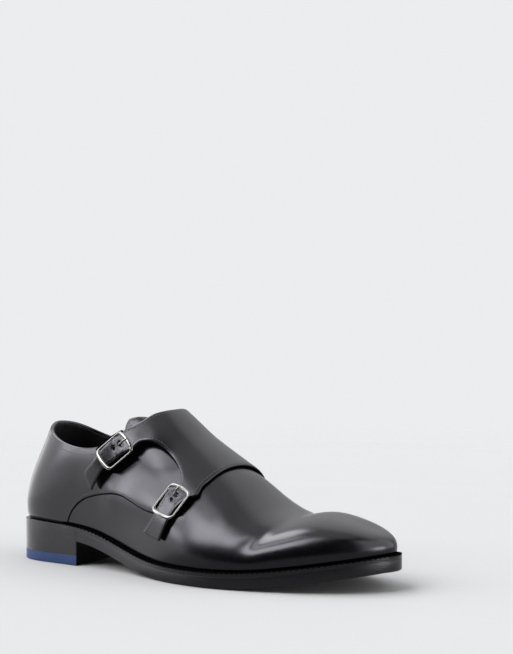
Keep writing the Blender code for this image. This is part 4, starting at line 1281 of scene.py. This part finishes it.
def saddle_lines():
    """Edges of the saddle on the chart: rear, seam, front, strap end, cut between straps, tail.

    Pairs are chart places; the straps are given along and across their own run.
    """
    upper, lower = buckle_frame("upper"), buckle_frame("lower")
    half = STRAP_HALF_WIDTH
    rear = [upper((0, -half)), upper((-8, -7.2)), (108.5, 37.5), (113, 32.5), (117.2, 26), (120.3, 19),
            (123.6, 12.5), (126.2, 4), (126, -4), (123.4, -13), (117, -25.5), (106, -38), (92, -49)]
    seam = [(92, -49), (101, -55), (115, -60), (131, -66), (148, -77)]
    front = [(148, -77), (157, -68), (167, -56), (174.5, -42), (179, -29), (179.7, -14),
             (178.4, 1), (176.6, 14), (175.2, 24), (173.8, 33), (172.4, 39.5), lower((-13.5, 9.4)),
             lower((-8, 7.8)), lower((0, 7.1)), lower((7, 6.9)), lower((13, 7.2)), lower((23.3, 8))]
    end = [lower((23.3, 8)), lower((25.5, 0.5)), lower((27.7, -7.4))]
    gap = [lower((27.7, -7.4)), lower((15, -6.2)), lower((6, -half)), lower((-6, -half)),
           (158.8, 46.6), (156.2, 41.2), (151.8, 36.9), (146.8, 34.3), (141.7, 33.1), (136, 32.8),
           (130.6, 34), (125.8, 36.8), (121.9, 40.3), upper((-13.5, 6.8)), upper((-7, half)),
           upper((4, half)), upper((11, 6)), upper((19, 7.6)), upper((27.4, 9.6))]
    tail = [upper((27.4, 9.6)), upper((26.9, 5)), upper((26, 0)), upper((24.8, -3.2)),
            upper((16, -4.4)), upper((8, -6)), upper((0, -half))]
    return rear, seam, front, end, gap, tail


def saddle_outline():
    """Closed outline of the saddle and its straps on the chart."""
    lines = [through(line, SADDLE_STEP)[:-1] for line in saddle_lines()]
    return softened(spaced(np.concatenate(lines), SADDLE_STEP, closed=True), 1)


def strap_crown(x, girth):
    """The straps' rise over the buckles' centre bars."""
    rise = 0.0
    for at_x, at_girth, to_x, to_girth in BUCKLES.values():
        along = (x - at_x) * to_x + (girth - at_girth) * to_girth - BAR_PLACE
        across = (x - at_x) * to_girth - (girth - at_girth) * to_x
        rise = rise + np.exp(-along**2 / CROWN_SPREAD) * (1 - ease(np.abs(across), 10, 16))
    return CROWN * rise


def saddle_under(x, girth):
    """Height of the saddle's underside above the last, with the rise over the centre bars."""
    return stand_off(x, girth) + strap_crown(x, girth)


# Punched holes: strap, place along it, radius. The first of each strap is the prong's; its middle
# lies a little further along than the prong, so that it shows.
HOLES = (("upper", PRONG_PLACE - 1.8, 1.5), ("upper", -1.0, 1.15), ("lower", PRONG_PLACE - 0.6, 1.5),
         ("lower", -1.0, 1.15))


def hole_places():
    """Chart place and radius of every punched hole."""
    return [(buckle_frame(which)((along, 0.0)), radius) for which, along, radius in HOLES]


def punched(x, girth):
    """Depth pressed into the straps at their holes."""
    depth = np.zeros(np.shape(x))
    for place, radius in hole_places():
        away = np.hypot(x - place[0], girth - place[1]) / radius
        depth = depth - HOLE_DEPTH * (1 - ease(away, 0.62, 1.0)) - HOLE_DISH * (1 - ease(away, 1.0, 1.9))
    return depth


def build_saddle(finish, paint):
    """Saddle over the instep with its two straps, the cut edge painted black: edge ink that also stands in
    for the edge's shadow.
    """
    outline = saddle_outline()
    holes = [(place, 2.0 * radius) for place, radius in hole_places()]
    points, faces = rounded_panel(outline, saddle_under, SADDLE_THICKNESS, 1.25, holes, punched)
    picks = [int(n < PAINTED_LEVELS * len(outline)) for n in range(len(faces))]
    made = make_object("saddle_and_straps", points, faces, (finish, paint), picks, sharp=60)
    return settle(made, "black_leather", "strap_saddle")


def saddle_sewing():
    """One line of sewing all round the saddle and its straps, inside the edge."""
    edge = inset(softened(saddle_outline(), 12), SADDLE_SEWING)
    height = saddle_under(edge[:, 0], edge[:, 1]) + SADDLE_THICKNESS
    points, ups = chart_line(edge, height)
    closed = np.append(np.arange(len(edge)), 0)
    return [(points[closed], ups[closed])]


# ---- buckles -------------------------------------------------------------------------------------
def on_strap(frame_of, along, across, height):
    """Points over a strap: along and across it, and above the saddle's underside."""
    place = frame_of(np.stack(np.broadcast_arrays(along, across), axis=-1))
    level = stand_off(place[..., 0], place[..., 1])
    return off_last(place[..., 0], place[..., 1], level + height)


def ring_line(end, side, corner, bow, steps=7):
    """Rounded frame along and across a strap, its end bars bowed, with the bar radius at each point."""
    along, across, radii = [], [], []
    turns = np.radians(np.linspace(0, 90, steps))
    for x, y, quarter in ((end, side, 0), (-end, side, 1), (-end, -side, 2), (end, -side, 3)):
        angle = turns + quarter * math.pi / 2
        along += list(x - math.copysign(corner, x) + corner * np.cos(angle))
        across += list(y - math.copysign(corner, y) + corner * np.sin(angle))
        share = np.linspace(0, 1, steps) if quarter % 2 == 0 else np.linspace(1, 0, steps)
        radii += list(END_BAR_RADIUS + (SIDE_BAR_RADIUS - END_BAR_RADIUS) * ease(share, 0.25, 1))
    line = spaced(np.column_stack([along, across, radii]), 0.5, closed=True)
    share = np.clip(np.abs(line[:, 1]) / (side - 0.4 * corner), 0, 1)
    at_end = ease(np.abs(line[:, 0]), end - corner, end - 0.3)
    line[:, 0] += np.sign(line[:, 0]) * bow * (1 - share**2) * at_end
    line[:, 2] += 0.18 * (1 - share**2) * at_end
    return line


def ring_plane(which, level):
    """Puts places along and across a buckle's ring, and above it, into the drawing.

    The ring is stiff, so it lies flat over the curved strap, a little askew to it.
    """
    x, girth, turn, tip = RING_SET[which]
    frame_of = strap_frame(x, girth, BUCKLES[which][2:])
    middle = on_strap(frame_of, 0.0, 0.0, level)
    along = on_strap(frame_of, 1.0, 0.0, level) - on_strap(frame_of, -1.0, 0.0, level)
    across = on_strap(frame_of, 0.0, 1.0, level) - on_strap(frame_of, 0.0, -1.0, level)
    away = on_strap(frame_of, 0.0, 0.0, level + 1) - middle
    axes = []
    for way in (away, along, across):
        way = way - sum((way @ axis) * axis for axis in axes)
        axes.append(way / np.linalg.norm(way))
    axes = Matrix([axes[1], axes[2], axes[0]]).transposed() @ Matrix.Rotation(math.radians(turn), 3, "Z")
    turned = np.array(axes @ Matrix.Rotation(math.radians(tip), 3, "Y"))

    def place(along, across, height):
        """Points of the drawing for places on the ring."""
        level_place = np.stack(np.broadcast_arrays(along, across, height), axis=-1).astype(float)
        return middle + level_place @ turned.T

    return place


def build_buckle(which, metal):
    """Ring, centre bar under the strap and prong of one buckle."""
    end, side = BUCKLE_LENGTH / 2 - END_BAR_RADIUS, BUCKLE_WIDTH / 2 - SIDE_BAR_RADIUS
    level = SADDLE_THICKNESS + FIT_GAP + END_BAR_RADIUS + RING_FREE
    place = ring_plane(which, level)
    line = ring_line(end - RING_DRAW, side, RING_CORNER, RING_BOW)
    path = place(line[:, 0], line[:, 1], 0.0)
    above = np.tile(place(0.0, 0.0, 1.0) - place(0.0, 0.0, 0.0), (len(path), 1))
    points, faces = tube_points(path, line[:, 2], 18, closed=True, flat=RING_FLATTEN, up=above)
    low = CROWN - FIT_GAP - CENTRE_BAR_RADIUS
    across = np.array([-side, -side + 0.3, -side + 1.0, side - 1.0, side - 0.3, side])
    height = np.array([0, -0.4 * level, low - level, low - level, -0.4 * level, 0])
    post = place(BAR_PLACE, across, height)
    bar_up = np.tile(post[3] - post[2], (6, 1)) + np.array((0.3, 0.2, 1.0))
    bar_points, bar_faces = tube_points(post, CENTRE_BAR_RADIUS, 10, up=bar_up)
    faces = faces + [tuple(v + len(points) for v in face) for face in bar_faces]
    ring = make_object(f"buckle_ring_{which}", np.concatenate([points, bar_points]), faces, (metal,))
    over = SADDLE_THICKNESS + FIT_GAP + PRONG_RADIUS
    rest = level + END_BAR_RADIUS + FIT_GAP + PRONG_RADIUS - 0.3
    run = np.array([(PRONG_PLACE + 0.5, CROWN - 0.2), (PRONG_PLACE + 0.1, over - 0.2),
                    (PRONG_PLACE - 0.6, over + 1.0), (PRONG_PLACE - 2.0, over + 1.55),
                    (-end + 2.4, rest + 0.05), (-end + 0.6, rest + 0.15), (-end - 0.5, rest),
                    (-end - 1.3, rest - 0.35)])
    run = through(run, 0.35)
    sway = np.interp(run[:, 0], (-end, PRONG_PLACE), (0.0, PRONG_SWAY))
    path = place(run[:, 0], sway, run[:, 1] - level)
    across = np.tile(place(0.0, 1.0, 0.0) - place(0.0, 0.0, 0.0), (len(run), 1))
    slim = 1 - 0.4 * ease(np.linspace(0, 1, len(run)), 0.7, 1.0)
    points, faces = tube_points(path, PRONG_RADIUS * slim, 14, up=np.cross(across, np.gradient(path, axis=0)))
    prong = make_object(f"buckle_prong_{which}", points, faces, (metal,))
    settle(ring, "bright_metal", f"{which}_buckle")
    settle(prong, "bright_metal", f"{which}_prong")
    return ring, prong


def build_tab(which, finish):
    """Leather tab from the quarter up to the centre bar, which carries the buckle; matt black without shine,
    it also stands in for the shade round the ring.
    """
    frame_of = buckle_frame(which)
    start, half = BAR_PLACE - TAB_LEAD, TAB_HALF_WIDTH
    corners = np.array([(start, -half), (TAB_REACH, -half), (TAB_REACH, half), (start, half)], float)
    outline = softened(spaced(corners, 0.8, closed=True), 2)
    middle = np.array(BUCKLES[which][:2])
    bar_floor = stand_off(*middle) + CROWN - 2 * FIT_GAP - 2 * CENTRE_BAR_RADIUS
    steps = [frame_of(one) - middle for one in ((1.0, 0.0), (0.0, 1.0))]
    way, sideways = (step / (step @ step) for step in steps)

    def under(x, girth):
        """Height of the tab's underside: up at the bar, down on the quarter, its sides clear."""
        along = (x - middle[0]) * way[0] + (girth - middle[1]) * way[1]
        floor = np.maximum(FIT_GAP, (bar_floor - TAB_THICKNESS) * (1 - ease(along, 0.5, 10.5)))
        across = np.abs((x - middle[0]) * sideways[0] + (girth - middle[1]) * sideways[1])
        raised = ease(across, 7.1, 8.6) * (1 - ease(along, 9.5, 12))
        return floor + raised * np.maximum(stand_off(x, girth) + 1.1 - floor, 0)

    points, faces = rounded_panel(frame_of(outline), under, TAB_THICKNESS, 1.2)
    made = make_object(f"buckle_tab_{which}", points, faces, (finish,))
    return settle(made, "tab_leather", f"{which}_buckle_tab")


# ---- bottom --------------------------------------------------------------------------------------
WELT_STEP = 0.42        # length of the welt's faces, fine enough for its notches
WELT_LIP = 0.25         # height of its inner line, which stands up behind the upper's lower edge
NOTCH_SHAPE = 0.6       # below 1 the notches are narrower than the crests between them
WELT_LINE = 0.56        # share of the welt's width at which it is sewn
SOLE_SEWING = 5.0       # from the sole's edge in to its sewing
# Section of the welt, from the upper's side over the top to the edge and down: share of its width,
# share of its height (above 1 for the line that stands up), share of the notches' depth
WELT_SECTION = ((0.02, 0, 0), (0.02, 1.02, 0.0), (0.25, 1.0, 0.4), (0.45, 1.0, 1.0), (0.7, 1.0, 1.0),
                (0.9, 1.0, 1.0), (0.985, 1.0, 1.0), (1.0, 0.98, 1.0), (1.0, 0.4, 0), (1.0, 0, 0))
HEEL_STEP = 0.05        # spacing of the positions round the heel seat
HEEL_PROUD = 0.14       # the heel block stands out from the sole edge by this
LIFT_INSET = 0.11       # the lift stands in from it by this


def forefoot(x, count):
    """Positions from a length x on the outer side round the toe to the same length opposite."""
    start = place_of(x)
    return np.linspace(start, ROUND - start, count)


def heel_outline(inward):
    """The heel seat's outline as far as the breast, which is hollowed."""
    end = place_of(HEEL_BREAST)
    k = np.linspace(-end, end, round(2 * end / HEEL_STEP) + 1)
    seat = edge_line(k, inward)
    across = np.linspace(0, 1, 40)[1:-1, None]
    breast = seat[-1] + (seat[0] - seat[-1]) * across
    breast[:, 0] -= BREAST_HOLLOW * (1 - (2 * across[:, 0] - 1) ** 2)
    return spaced(np.concatenate([seat, breast]), 0.8, closed=True)


def level_at(z):
    """Level height for a slab's side."""
    return lambda x: 0 * x + z


def build_sole(edge, underside):
    """Leather outsole, its underside in a finish of its own."""
    outline = spaced(edge_line(np.arange(0, ROUND, 0.04)), 1.6, closed=True)
    points, faces = rounded_slab(outline, sole_bottom, lambda x: sole_top(x) + FIT_GAP - 0.02, 0.06, 4.0)
    picks = []
    for face in faces:
        corners = points[list(face)]
        middle = corners.mean(axis=0)
        flat = np.ptp(corners[:, 2]) < 0.6 + 0.25 * np.ptp(corners[:, 0])
        picks.append(int(flat and middle[2] < sole_bottom(middle[0]) + 0.12))
    made = make_object("sole", points, faces, (edge, underside), picks)
    return settle(made, "sole_leather", "outsole")


def at_breast(points, faces):
    """1 for the faces of the heel's hollowed front, which take the painted shade, 0 for the rest."""
    picks = []
    for face in faces:
        corners = points[list(face)]
        facing = np.cross(corners[1] - corners[0], corners[2] - corners[0])
        picks.append(int(len(face) == 4 and facing[0] > 0.7 * np.linalg.norm(facing)
                         and corners[:, 0].mean() > HEEL_BREAST - BREAST_HOLLOW - 3))
    return picks


def build_heel(edge, blue, breast):
    """Heel block, drawn in a little towards its foot, and the rubber lift under it; the breast of both is
    painted black as shade.
    """
    seam = level_at(LIFT_HEIGHT)
    points, faces = rounded_slab(heel_outline(-HEEL_PROUD), seam, lambda x: sole_top(x) + FIT_GAP - 0.05,
                                 0.04, 4.0, taper=0.25)
    block = make_object("heel_stack", points, faces, (edge, breast), at_breast(points, faces))
    points, faces = rounded_slab(heel_outline(LIFT_INSET), level_at(0.0), seam, 0.2, 4.0)
    lift = make_object("heel_lift", points, faces, (blue, breast), at_breast(points, faces))
    settle(block, "sole_leather", "heel_block")
    settle(lift, "blue_rubber", "top_lift")
    return block, lift


def build_welt(finish, top, pitch, depth):
    """Strip round the forefoot with a wheeled upper face: a notch between every two stitches. The upper face
    is painted matt black as the shade under the upper.
    """
    dense = forefoot(WELT_START, 4000)
    reach = reach_along(edge_line(dense))
    t = np.linspace(0, reach[-1], round(reach[-1] / WELT_STEP) + 1)
    k = np.interp(t, reach, dense)
    wave = np.abs(np.sin(math.pi * t / pitch)) ** NOTCH_SHAPE
    notch = depth * (1 - wave)
    x = row_at(k)[0][:, 0]
    width, drop = edge_width(x), welt_depth(x)
    rings = []
    for share, rise, cut in WELT_SECTION:
        plan = beyond_feather(k, width * share)
        lip = WELT_LIP if rise > 1 else 0
        z = plan_z(plan[:, 0]) - drop * (1 - np.minimum(rise, 1)) + lip - notch * cut
        rings.append(np.column_stack([plan, np.maximum(z, plan_z(plan[:, 0]) - drop)]))
    columns = len(k)
    points = np.concatenate(rings)
    faces = []
    for ring in range(len(rings)):
        a, b = ring * columns, (ring + 1) % len(rings) * columns
        faces += [(a + n, a + n + 1, b + n + 1, b + n) for n in range(columns - 1)]
    faces += [tuple(r * columns for r in range(len(rings))),
              tuple(r * columns + columns - 1 for r in reversed(range(len(rings))))]
    # the top faces take the black paint: painted shade under the upper's lower edge
    picks = [int(1 <= n // (columns - 1) <= 6) for n in range(len(rings) * (columns - 1))] + [0, 0]
    made = make_object("welt_strip", points, faces, (finish, top), picks, sharp=20)
    return settle(made, "sole_leather", "welt")


def welt_sewing():
    """One line of lockstitch along the welt."""
    k = forefoot(WELT_START + 6, 3000)
    plan = beyond_feather(k, WELT_LINE * edge_width(row_at(k)[0][:, 0]))
    points = np.column_stack([plan, plan_z(plan[:, 0])])
    return [(points, np.tile((0.0, 0.0, 1.0), (len(points), 1)))]


def sole_sewing():
    """Line of stitches in the sole's underside, from breast to breast round the forefoot."""
    plan = edge_line(forefoot(HEEL_BREAST + 6, 3000), SOLE_SEWING)
    points = np.column_stack([plan, sole_bottom(plan[:, 0])])
    return [(points, np.tile((0.0, 0.0, -1.0), (len(points), 1)))]


def build_sock(finish):
    """Insole and sock lining as one slab inside the upper."""
    outline = spaced(beyond_feather(np.arange(0, ROUND, 0.05), -INSOLE_INSET), 2.0, closed=True)
    points, faces = rounded_slab(outline, lambda x: sole_top(x) + 2 * FIT_GAP,
                                 lambda x: plan_z(x) + INSOLE_RISE, 0.5, 4.5)
    made = make_object("sock_lining", points, faces, (finish,))
    return settle(made, "insole_leather", "insole")


# ---- settings ------------------------------------------------------------------------------------
class ShoeLeatherSettings(bpy.types.PropertyGroup):
    """Colour and shine of the upper."""
    tone: FloatVectorProperty(name="Leather", description="Colour of the polished leather",
                              default=(0.0009, 0.0009, 0.0011), size=3, subtype="COLOR")
    shine: FloatProperty(name="Roughness", description="Least roughness of the polished leather",
                         default=0.19, min=0.02, max=0.8)
    waves: FloatProperty(name="Waves", description="Height of the slow waves in the skin",
                         default=0.5, min=0.0, max=3.0)


class ShoeStitchSettings(bpy.types.PropertyGroup):
    """Thread and pitch of the sewing."""
    pitch: FloatProperty(name="Pitch", description="Distance between stitches of the upper",
                         default=0.0023, unit="LENGTH")
    welt_pitch: FloatProperty(name="Welt Pitch", description="Distance between stitches of the welt",
                              default=0.0034, unit="LENGTH")
    thread: FloatProperty(name="Thread", description="Thickness of the upper's thread",
                          default=0.00055, unit="LENGTH")


class ShoeBottomSettings(bpy.types.PropertyGroup):
    """Finish of welt, sole and heel."""
    notch: FloatProperty(name="Notch Depth", description="Depth of the wheel marks on the welt",
                         default=0.0009, unit="LENGTH")
    lift_tone: FloatVectorProperty(name="Heel Lift", description="Colour of the heel's rubber",
                                   default=(0.003, 0.021, 0.087), size=3, subtype="COLOR")


class ShoeStageSettings(bpy.types.PropertyGroup):
    """Floor and light of the stage."""
    floor_tone: FloatVectorProperty(name="Floor", description="Colour of the paper floor",
                                    default=(0.325, 0.325, 0.327), size=3, subtype="COLOR")
    light: FloatProperty(name="Light", description="Strength of the surrounding light",
                         default=1.0, min=0.0, max=5.0)


# ---- operators -----------------------------------------------------------------------------------
def finish_named(name, maker, *args, **settings):
    """A material by name, made on first use."""
    return bpy.data.materials.get(name) or maker(name, *args, **settings)


def leather(context):
    """Polished leather of the upper, after the settings."""
    settings = context.scene.shoe_leather
    return finish_named("polished_calf", polished_leather, tuple(settings.tone),
                        (settings.shine, settings.shine + 0.04), waves=settings.waves)


def lining():
    """Dull leather inside the upper."""
    return finish_named("lining_leather", dull_leather, (0.0012, 0.0012, 0.0014))


def dark_thread():
    """Thread of the upper, the saddle and the tongue."""
    return finish_named("black_thread", thread, (0.012, 0.012, 0.014))


class SHOE_OT_upper(bpy.types.Operator):
    """Builds the vamp, the quarters over it, and the rolled collar edge"""
    bl_idname = "shoe.upper"
    bl_label = "Upper"

    def execute(self, context):
        skin = leather(context)
        build_shell(skin, lining())
        build_quarters(skin, finish_named("edge_black", edge_paint))
        build_collar(skin)
        return {"FINISHED"}


class SHOE_OT_saddle(bpy.types.Operator):
    """Builds the saddle with its two straps, and the tongue under it"""
    bl_idname = "shoe.saddle"
    bl_label = "Saddle and Tongue"

    def execute(self, context):
        skin = leather(context)
        build_saddle(skin, finish_named("edge_black", edge_paint))
        build_tongue(skin)
        return {"FINISHED"}


class SHOE_OT_buckles(bpy.types.Operator):
    """Builds the two buckles with their prongs and leather tabs"""
    bl_idname = "shoe.buckles"
    bl_label = "Buckles"

    def execute(self, context):
        metal = finish_named("bright_nickel", bright_metal, (0.15, 0.148, 0.145), 0.08)
        # the tabs' finish is matt black without shine: black leather and painted shade beside the strap
        tab = finish_named("tab_black", edge_paint, 0.0)
        for which in BUCKLES:
            build_buckle(which, metal)
            build_tab(which, tab)
        return {"FINISHED"}


class SHOE_OT_bottom(bpy.types.Operator):
    """Builds the sole, heel, blue lift, welt and sock lining"""
    bl_idname = "shoe.bottom"
    bl_label = "Sole and Heel"

    def execute(self, context):
        settings = context.scene.shoe_bottom
        stitches = context.scene.shoe_stitches
        edge = finish_named("sole_edge", sole_edge_finish, (0.0026, 0.0025, 0.0028))
        under = finish_named("sole_underside", sole_underside, (0.009, 0.0085, 0.008))
        build_sole(edge, under)
        build_heel(edge,
                   finish_named("heel_rubber", rubber, tuple(settings.lift_tone)),
                   finish_named("breast_black", edge_paint))
        build_welt(edge, finish_named("welt_black", edge_paint, 0.0), stitches.welt_pitch / MM,
                   settings.notch / MM)
        build_sock(finish_named("sock_leather", dull_leather, (0.0012, 0.0012, 0.0012)))
        return {"FINISHED"}


class SHOE_OT_sewing(bpy.types.Operator):
    """Sews the upper, the saddle, the tongue, the welt and the sole"""
    bl_idname = "shoe.sewing"
    bl_label = "Sewing"

    def execute(self, context):
        settings = context.scene.shoe_stitches
        pitch, thick, welt = settings.pitch / MM, settings.thread / MM, settings.welt_pitch / MM
        cord = dark_thread()
        waxed = finish_named("welt_thread", thread, (0.0012, 0.0012, 0.0013), 1.02)
        settle(sew("upper_stitches", upper_lines(), cord, pitch, thick=thick, seed=3), "black_leather")
        settle(sew("saddle_stitches", saddle_sewing(), cord, pitch, thick=thick, seed=5), "black_leather")
        settle(sew("tongue_stitches", tongue_sewing(), cord, pitch, thick=thick, seed=7), "black_leather")
        settle(sew("welt_stitches", welt_sewing(), waxed, welt, 0.8 * welt, thick=0.9, sink=0.12,
                   unevenness=0.05, seed=9), "sole_leather")
        settle(sew("sole_stitches", sole_sewing(), waxed, welt, thick=0.8, sink=0.2, seed=11),
               "sole_leather")
        return {"FINISHED"}


# Bright parts of the surroundings, one row each: bearing from and to, counted from the outer side of
# the shoe towards its heel, height from and to (at bearing nought), fall of that height per degree of
# bearing, width of the soft edge, radiance. Degrees.
SOFTBOXES = (
    ("outer_box_front", 3, 39, 49, 79, 0.9, 6, 12.0),
    ("outer_box_middle", 39, 62, 46, 72, 0, 6, 7.5),
    ("outer_box_rear", 48, 61, 11, 50, 0, 6, 8.0),
    ("outer_box_low", 46, 60, 8, 27, 0, 6, 11.0),
    ("outer_top", -12, 32, 58, 78, 0, 8, 2.8),
    ("heel_box", 72, 120, 46, 70, 0, 6, 9.5),
    ("heel_side", 60, 100, 10, 48, 0, 8, 3.4),
    ("heel_cove", 44, 120, -18, 12, 0, 5, 2.4),
    ("toe_window", -106, -78, -10, 12, 0, 4, 10.0),
    ("toe_cove", -150, -62, -18, 60, 0, 16, 2.6),
    ("outer_fill", -62, -35, -20, 50, 0, 8, 0.12),
)
BACK_GLOW = (0.6, 1.35)     # light from behind the shoe: low down, and added higher up
BACK_CLIMB = (0.25, 0.85)   # sines of the heights over which it is added
TOP_GLOW = 1.3
TOP_EDGE = (0.92, 0.985)    # sines of the heights over which the light from above sets in
FLOOR_GLOW = 0.7
FLOOR_EDGE = (-0.12, -0.3)  # and the light from below
BACKDROP = (0.838, 0.845, 0.852)
FLOOR_RADIUS = 3.0          # metres
CAMERA_PLACE = (684.7, -749.5, 153.0)
CAMERA_TURN = 33.36         # degrees that the level camera looks round from the shoe's side
CAMERA_LENS = 98.39
CAMERA_SHIFT = 0.0182       # share of the sensor's width by which the view is shifted up


def studio_light(scene, strength):
    """Surroundings: a pale backdrop to look at, and the soft light that falls on the shoe."""
    world = bpy.data.worlds.new("studio")
    scene.world = world
    world.use_nodes = True
    tree = world.node_tree
    tree.nodes.clear()
    bearing, way = bearing_of(tree, add(tree, "ShaderNodeTexCoord").outputs["Generated"])
    height = maths(tree, "MULTIPLY", maths(tree, "ARCSINE", way["Z"]), 180.0 / math.pi)
    low, more = BACK_GLOW
    climb = spread(tree, way["Z"], *BACK_CLIMB, low, low + more)
    glow = maths(tree, "MULTIPLY", spread(tree, way["Y"], 0.0, 0.4, 0.0, 1.0), climb)
    glow = maths(tree, "MAXIMUM", glow, spread(tree, way["Z"], *TOP_EDGE, 0.0, TOP_GLOW))
    glow = maths(tree, "MAXIMUM", glow, spread(tree, way["Z"], *FLOOR_EDGE, 0.0, FLOOR_GLOW))
    for _, start, end, foot, top, fall, soft, radiance in SOFTBOXES:
        level = maths(tree, "ADD", height, maths(tree, "MULTIPLY", bearing, float(fall)))
        patch = maths(tree, "MULTIPLY", window(tree, bearing, start, end, soft),
                      window(tree, level, foot, top, soft))
        glow = maths(tree, "MAXIMUM", glow, maths(tree, "MULTIPLY", patch, radiance))
    lit = add(tree, "ShaderNodeBackground", {"Strength": maths(tree, "MULTIPLY", glow, strength)})
    lit.inputs["Color"].default_value = (0.985, 0.99, 1.0, 1.0)
    pale = add(tree, "ShaderNodeBackground")
    pale.inputs["Color"].default_value = (*BACKDROP, 1.0)
    seen = add(tree, "ShaderNodeLightPath").outputs["Is Camera Ray"]
    both = tree.nodes.new("ShaderNodeMixShader")
    tree.links.new(seen, both.inputs[0])
    tree.links.new(lit.outputs[0], both.inputs[1])
    tree.links.new(pale.outputs[0], both.inputs[2])
    end = tree.nodes.new("ShaderNodeOutputWorld")
    tree.links.new(both.outputs[0], end.inputs["Surface"])


def build_floor(tone):
    """Round paper floor that fades into the backdrop."""
    shape = bmesh.new()
    bmesh.ops.create_circle(shape, cap_ends=True, segments=64, radius=FLOOR_RADIUS)
    mesh = bpy.data.meshes.new("paper_floor")
    shape.to_mesh(mesh)
    shape.free()
    mesh.transform(Matrix.Translation((0, 0, -0.0002)))
    mesh.materials.append(finish_named("paper", floor_finish, tone))
    floor = bpy.data.objects.new("paper_floor", mesh)
    bpy.context.scene.collection.objects.link(floor)


class SHOE_OT_stage(bpy.types.Operator):
    """Sets the pale floor, the soft lights and the camera"""
    bl_idname = "shoe.stage"
    bl_label = "Stage"

    def execute(self, context):
        scene = context.scene
        settings = scene.shoe_stage
        build_floor(tuple(settings.floor_tone))
        studio_light(scene, settings.light)
        data = bpy.data.cameras.new("camera")
        data.sensor_fit = "HORIZONTAL"
        data.sensor_width = 36.0
        data.lens = CAMERA_LENS
        data.shift_y = CAMERA_SHIFT
        data.clip_start = 0.05
        camera = bpy.data.objects.new("camera", data)
        scene.collection.objects.link(camera)
        camera.location = (np.array(CAMERA_PLACE) + SHIFT) * MM
        camera.rotation_euler = (math.radians(90.0), 0.0, math.radians(CAMERA_TURN))
        scene.camera = camera
        scene.view_settings.view_transform = "Standard"
        return {"FINISHED"}


STEPS = (SHOE_OT_bottom, SHOE_OT_upper, SHOE_OT_saddle, SHOE_OT_buckles, SHOE_OT_sewing, SHOE_OT_stage)
SETTINGS = (("shoe_leather", ShoeLeatherSettings), ("shoe_stitches", ShoeStitchSettings),
            ("shoe_bottom", ShoeBottomSettings), ("shoe_stage", ShoeStageSettings))


class SHOE_PT_panel(bpy.types.Panel):
    """Lists the steps that build the shoe"""
    bl_idname = "SHOE_PT_panel"
    bl_label = "Monk-Strap Shoe"
    bl_space_type = "VIEW_3D"
    bl_region_type = "UI"
    bl_category = "Shoe"

    def draw(self, context):
        for name, group in SETTINGS:
            box = self.layout.box()
            for prop in group.__annotations__:
                box.prop(getattr(context.scene, name), prop)
        for step in STEPS:
            self.layout.operator(step.bl_idname)


CLASSES = tuple(group for _, group in SETTINGS) + STEPS + (SHOE_PT_panel,)


def register():
    """Makes the settings, steps and panel known to Blender."""
    for each in CLASSES:
        bpy.utils.register_class(each)
    for name, group in SETTINGS:
        setattr(bpy.types.Scene, name, PointerProperty(type=group))


def unregister():
    """Takes them away again."""
    for name, _ in SETTINGS:
        delattr(bpy.types.Scene, name)
    for each in reversed(CLASSES):
        bpy.utils.unregister_class(each)


def main():
    """Runs every step."""
    register()
    for step in STEPS:
        group, name = step.bl_idname.split(".")
        getattr(getattr(bpy.ops, group), name)()


if __name__ == "__main__":
    main()
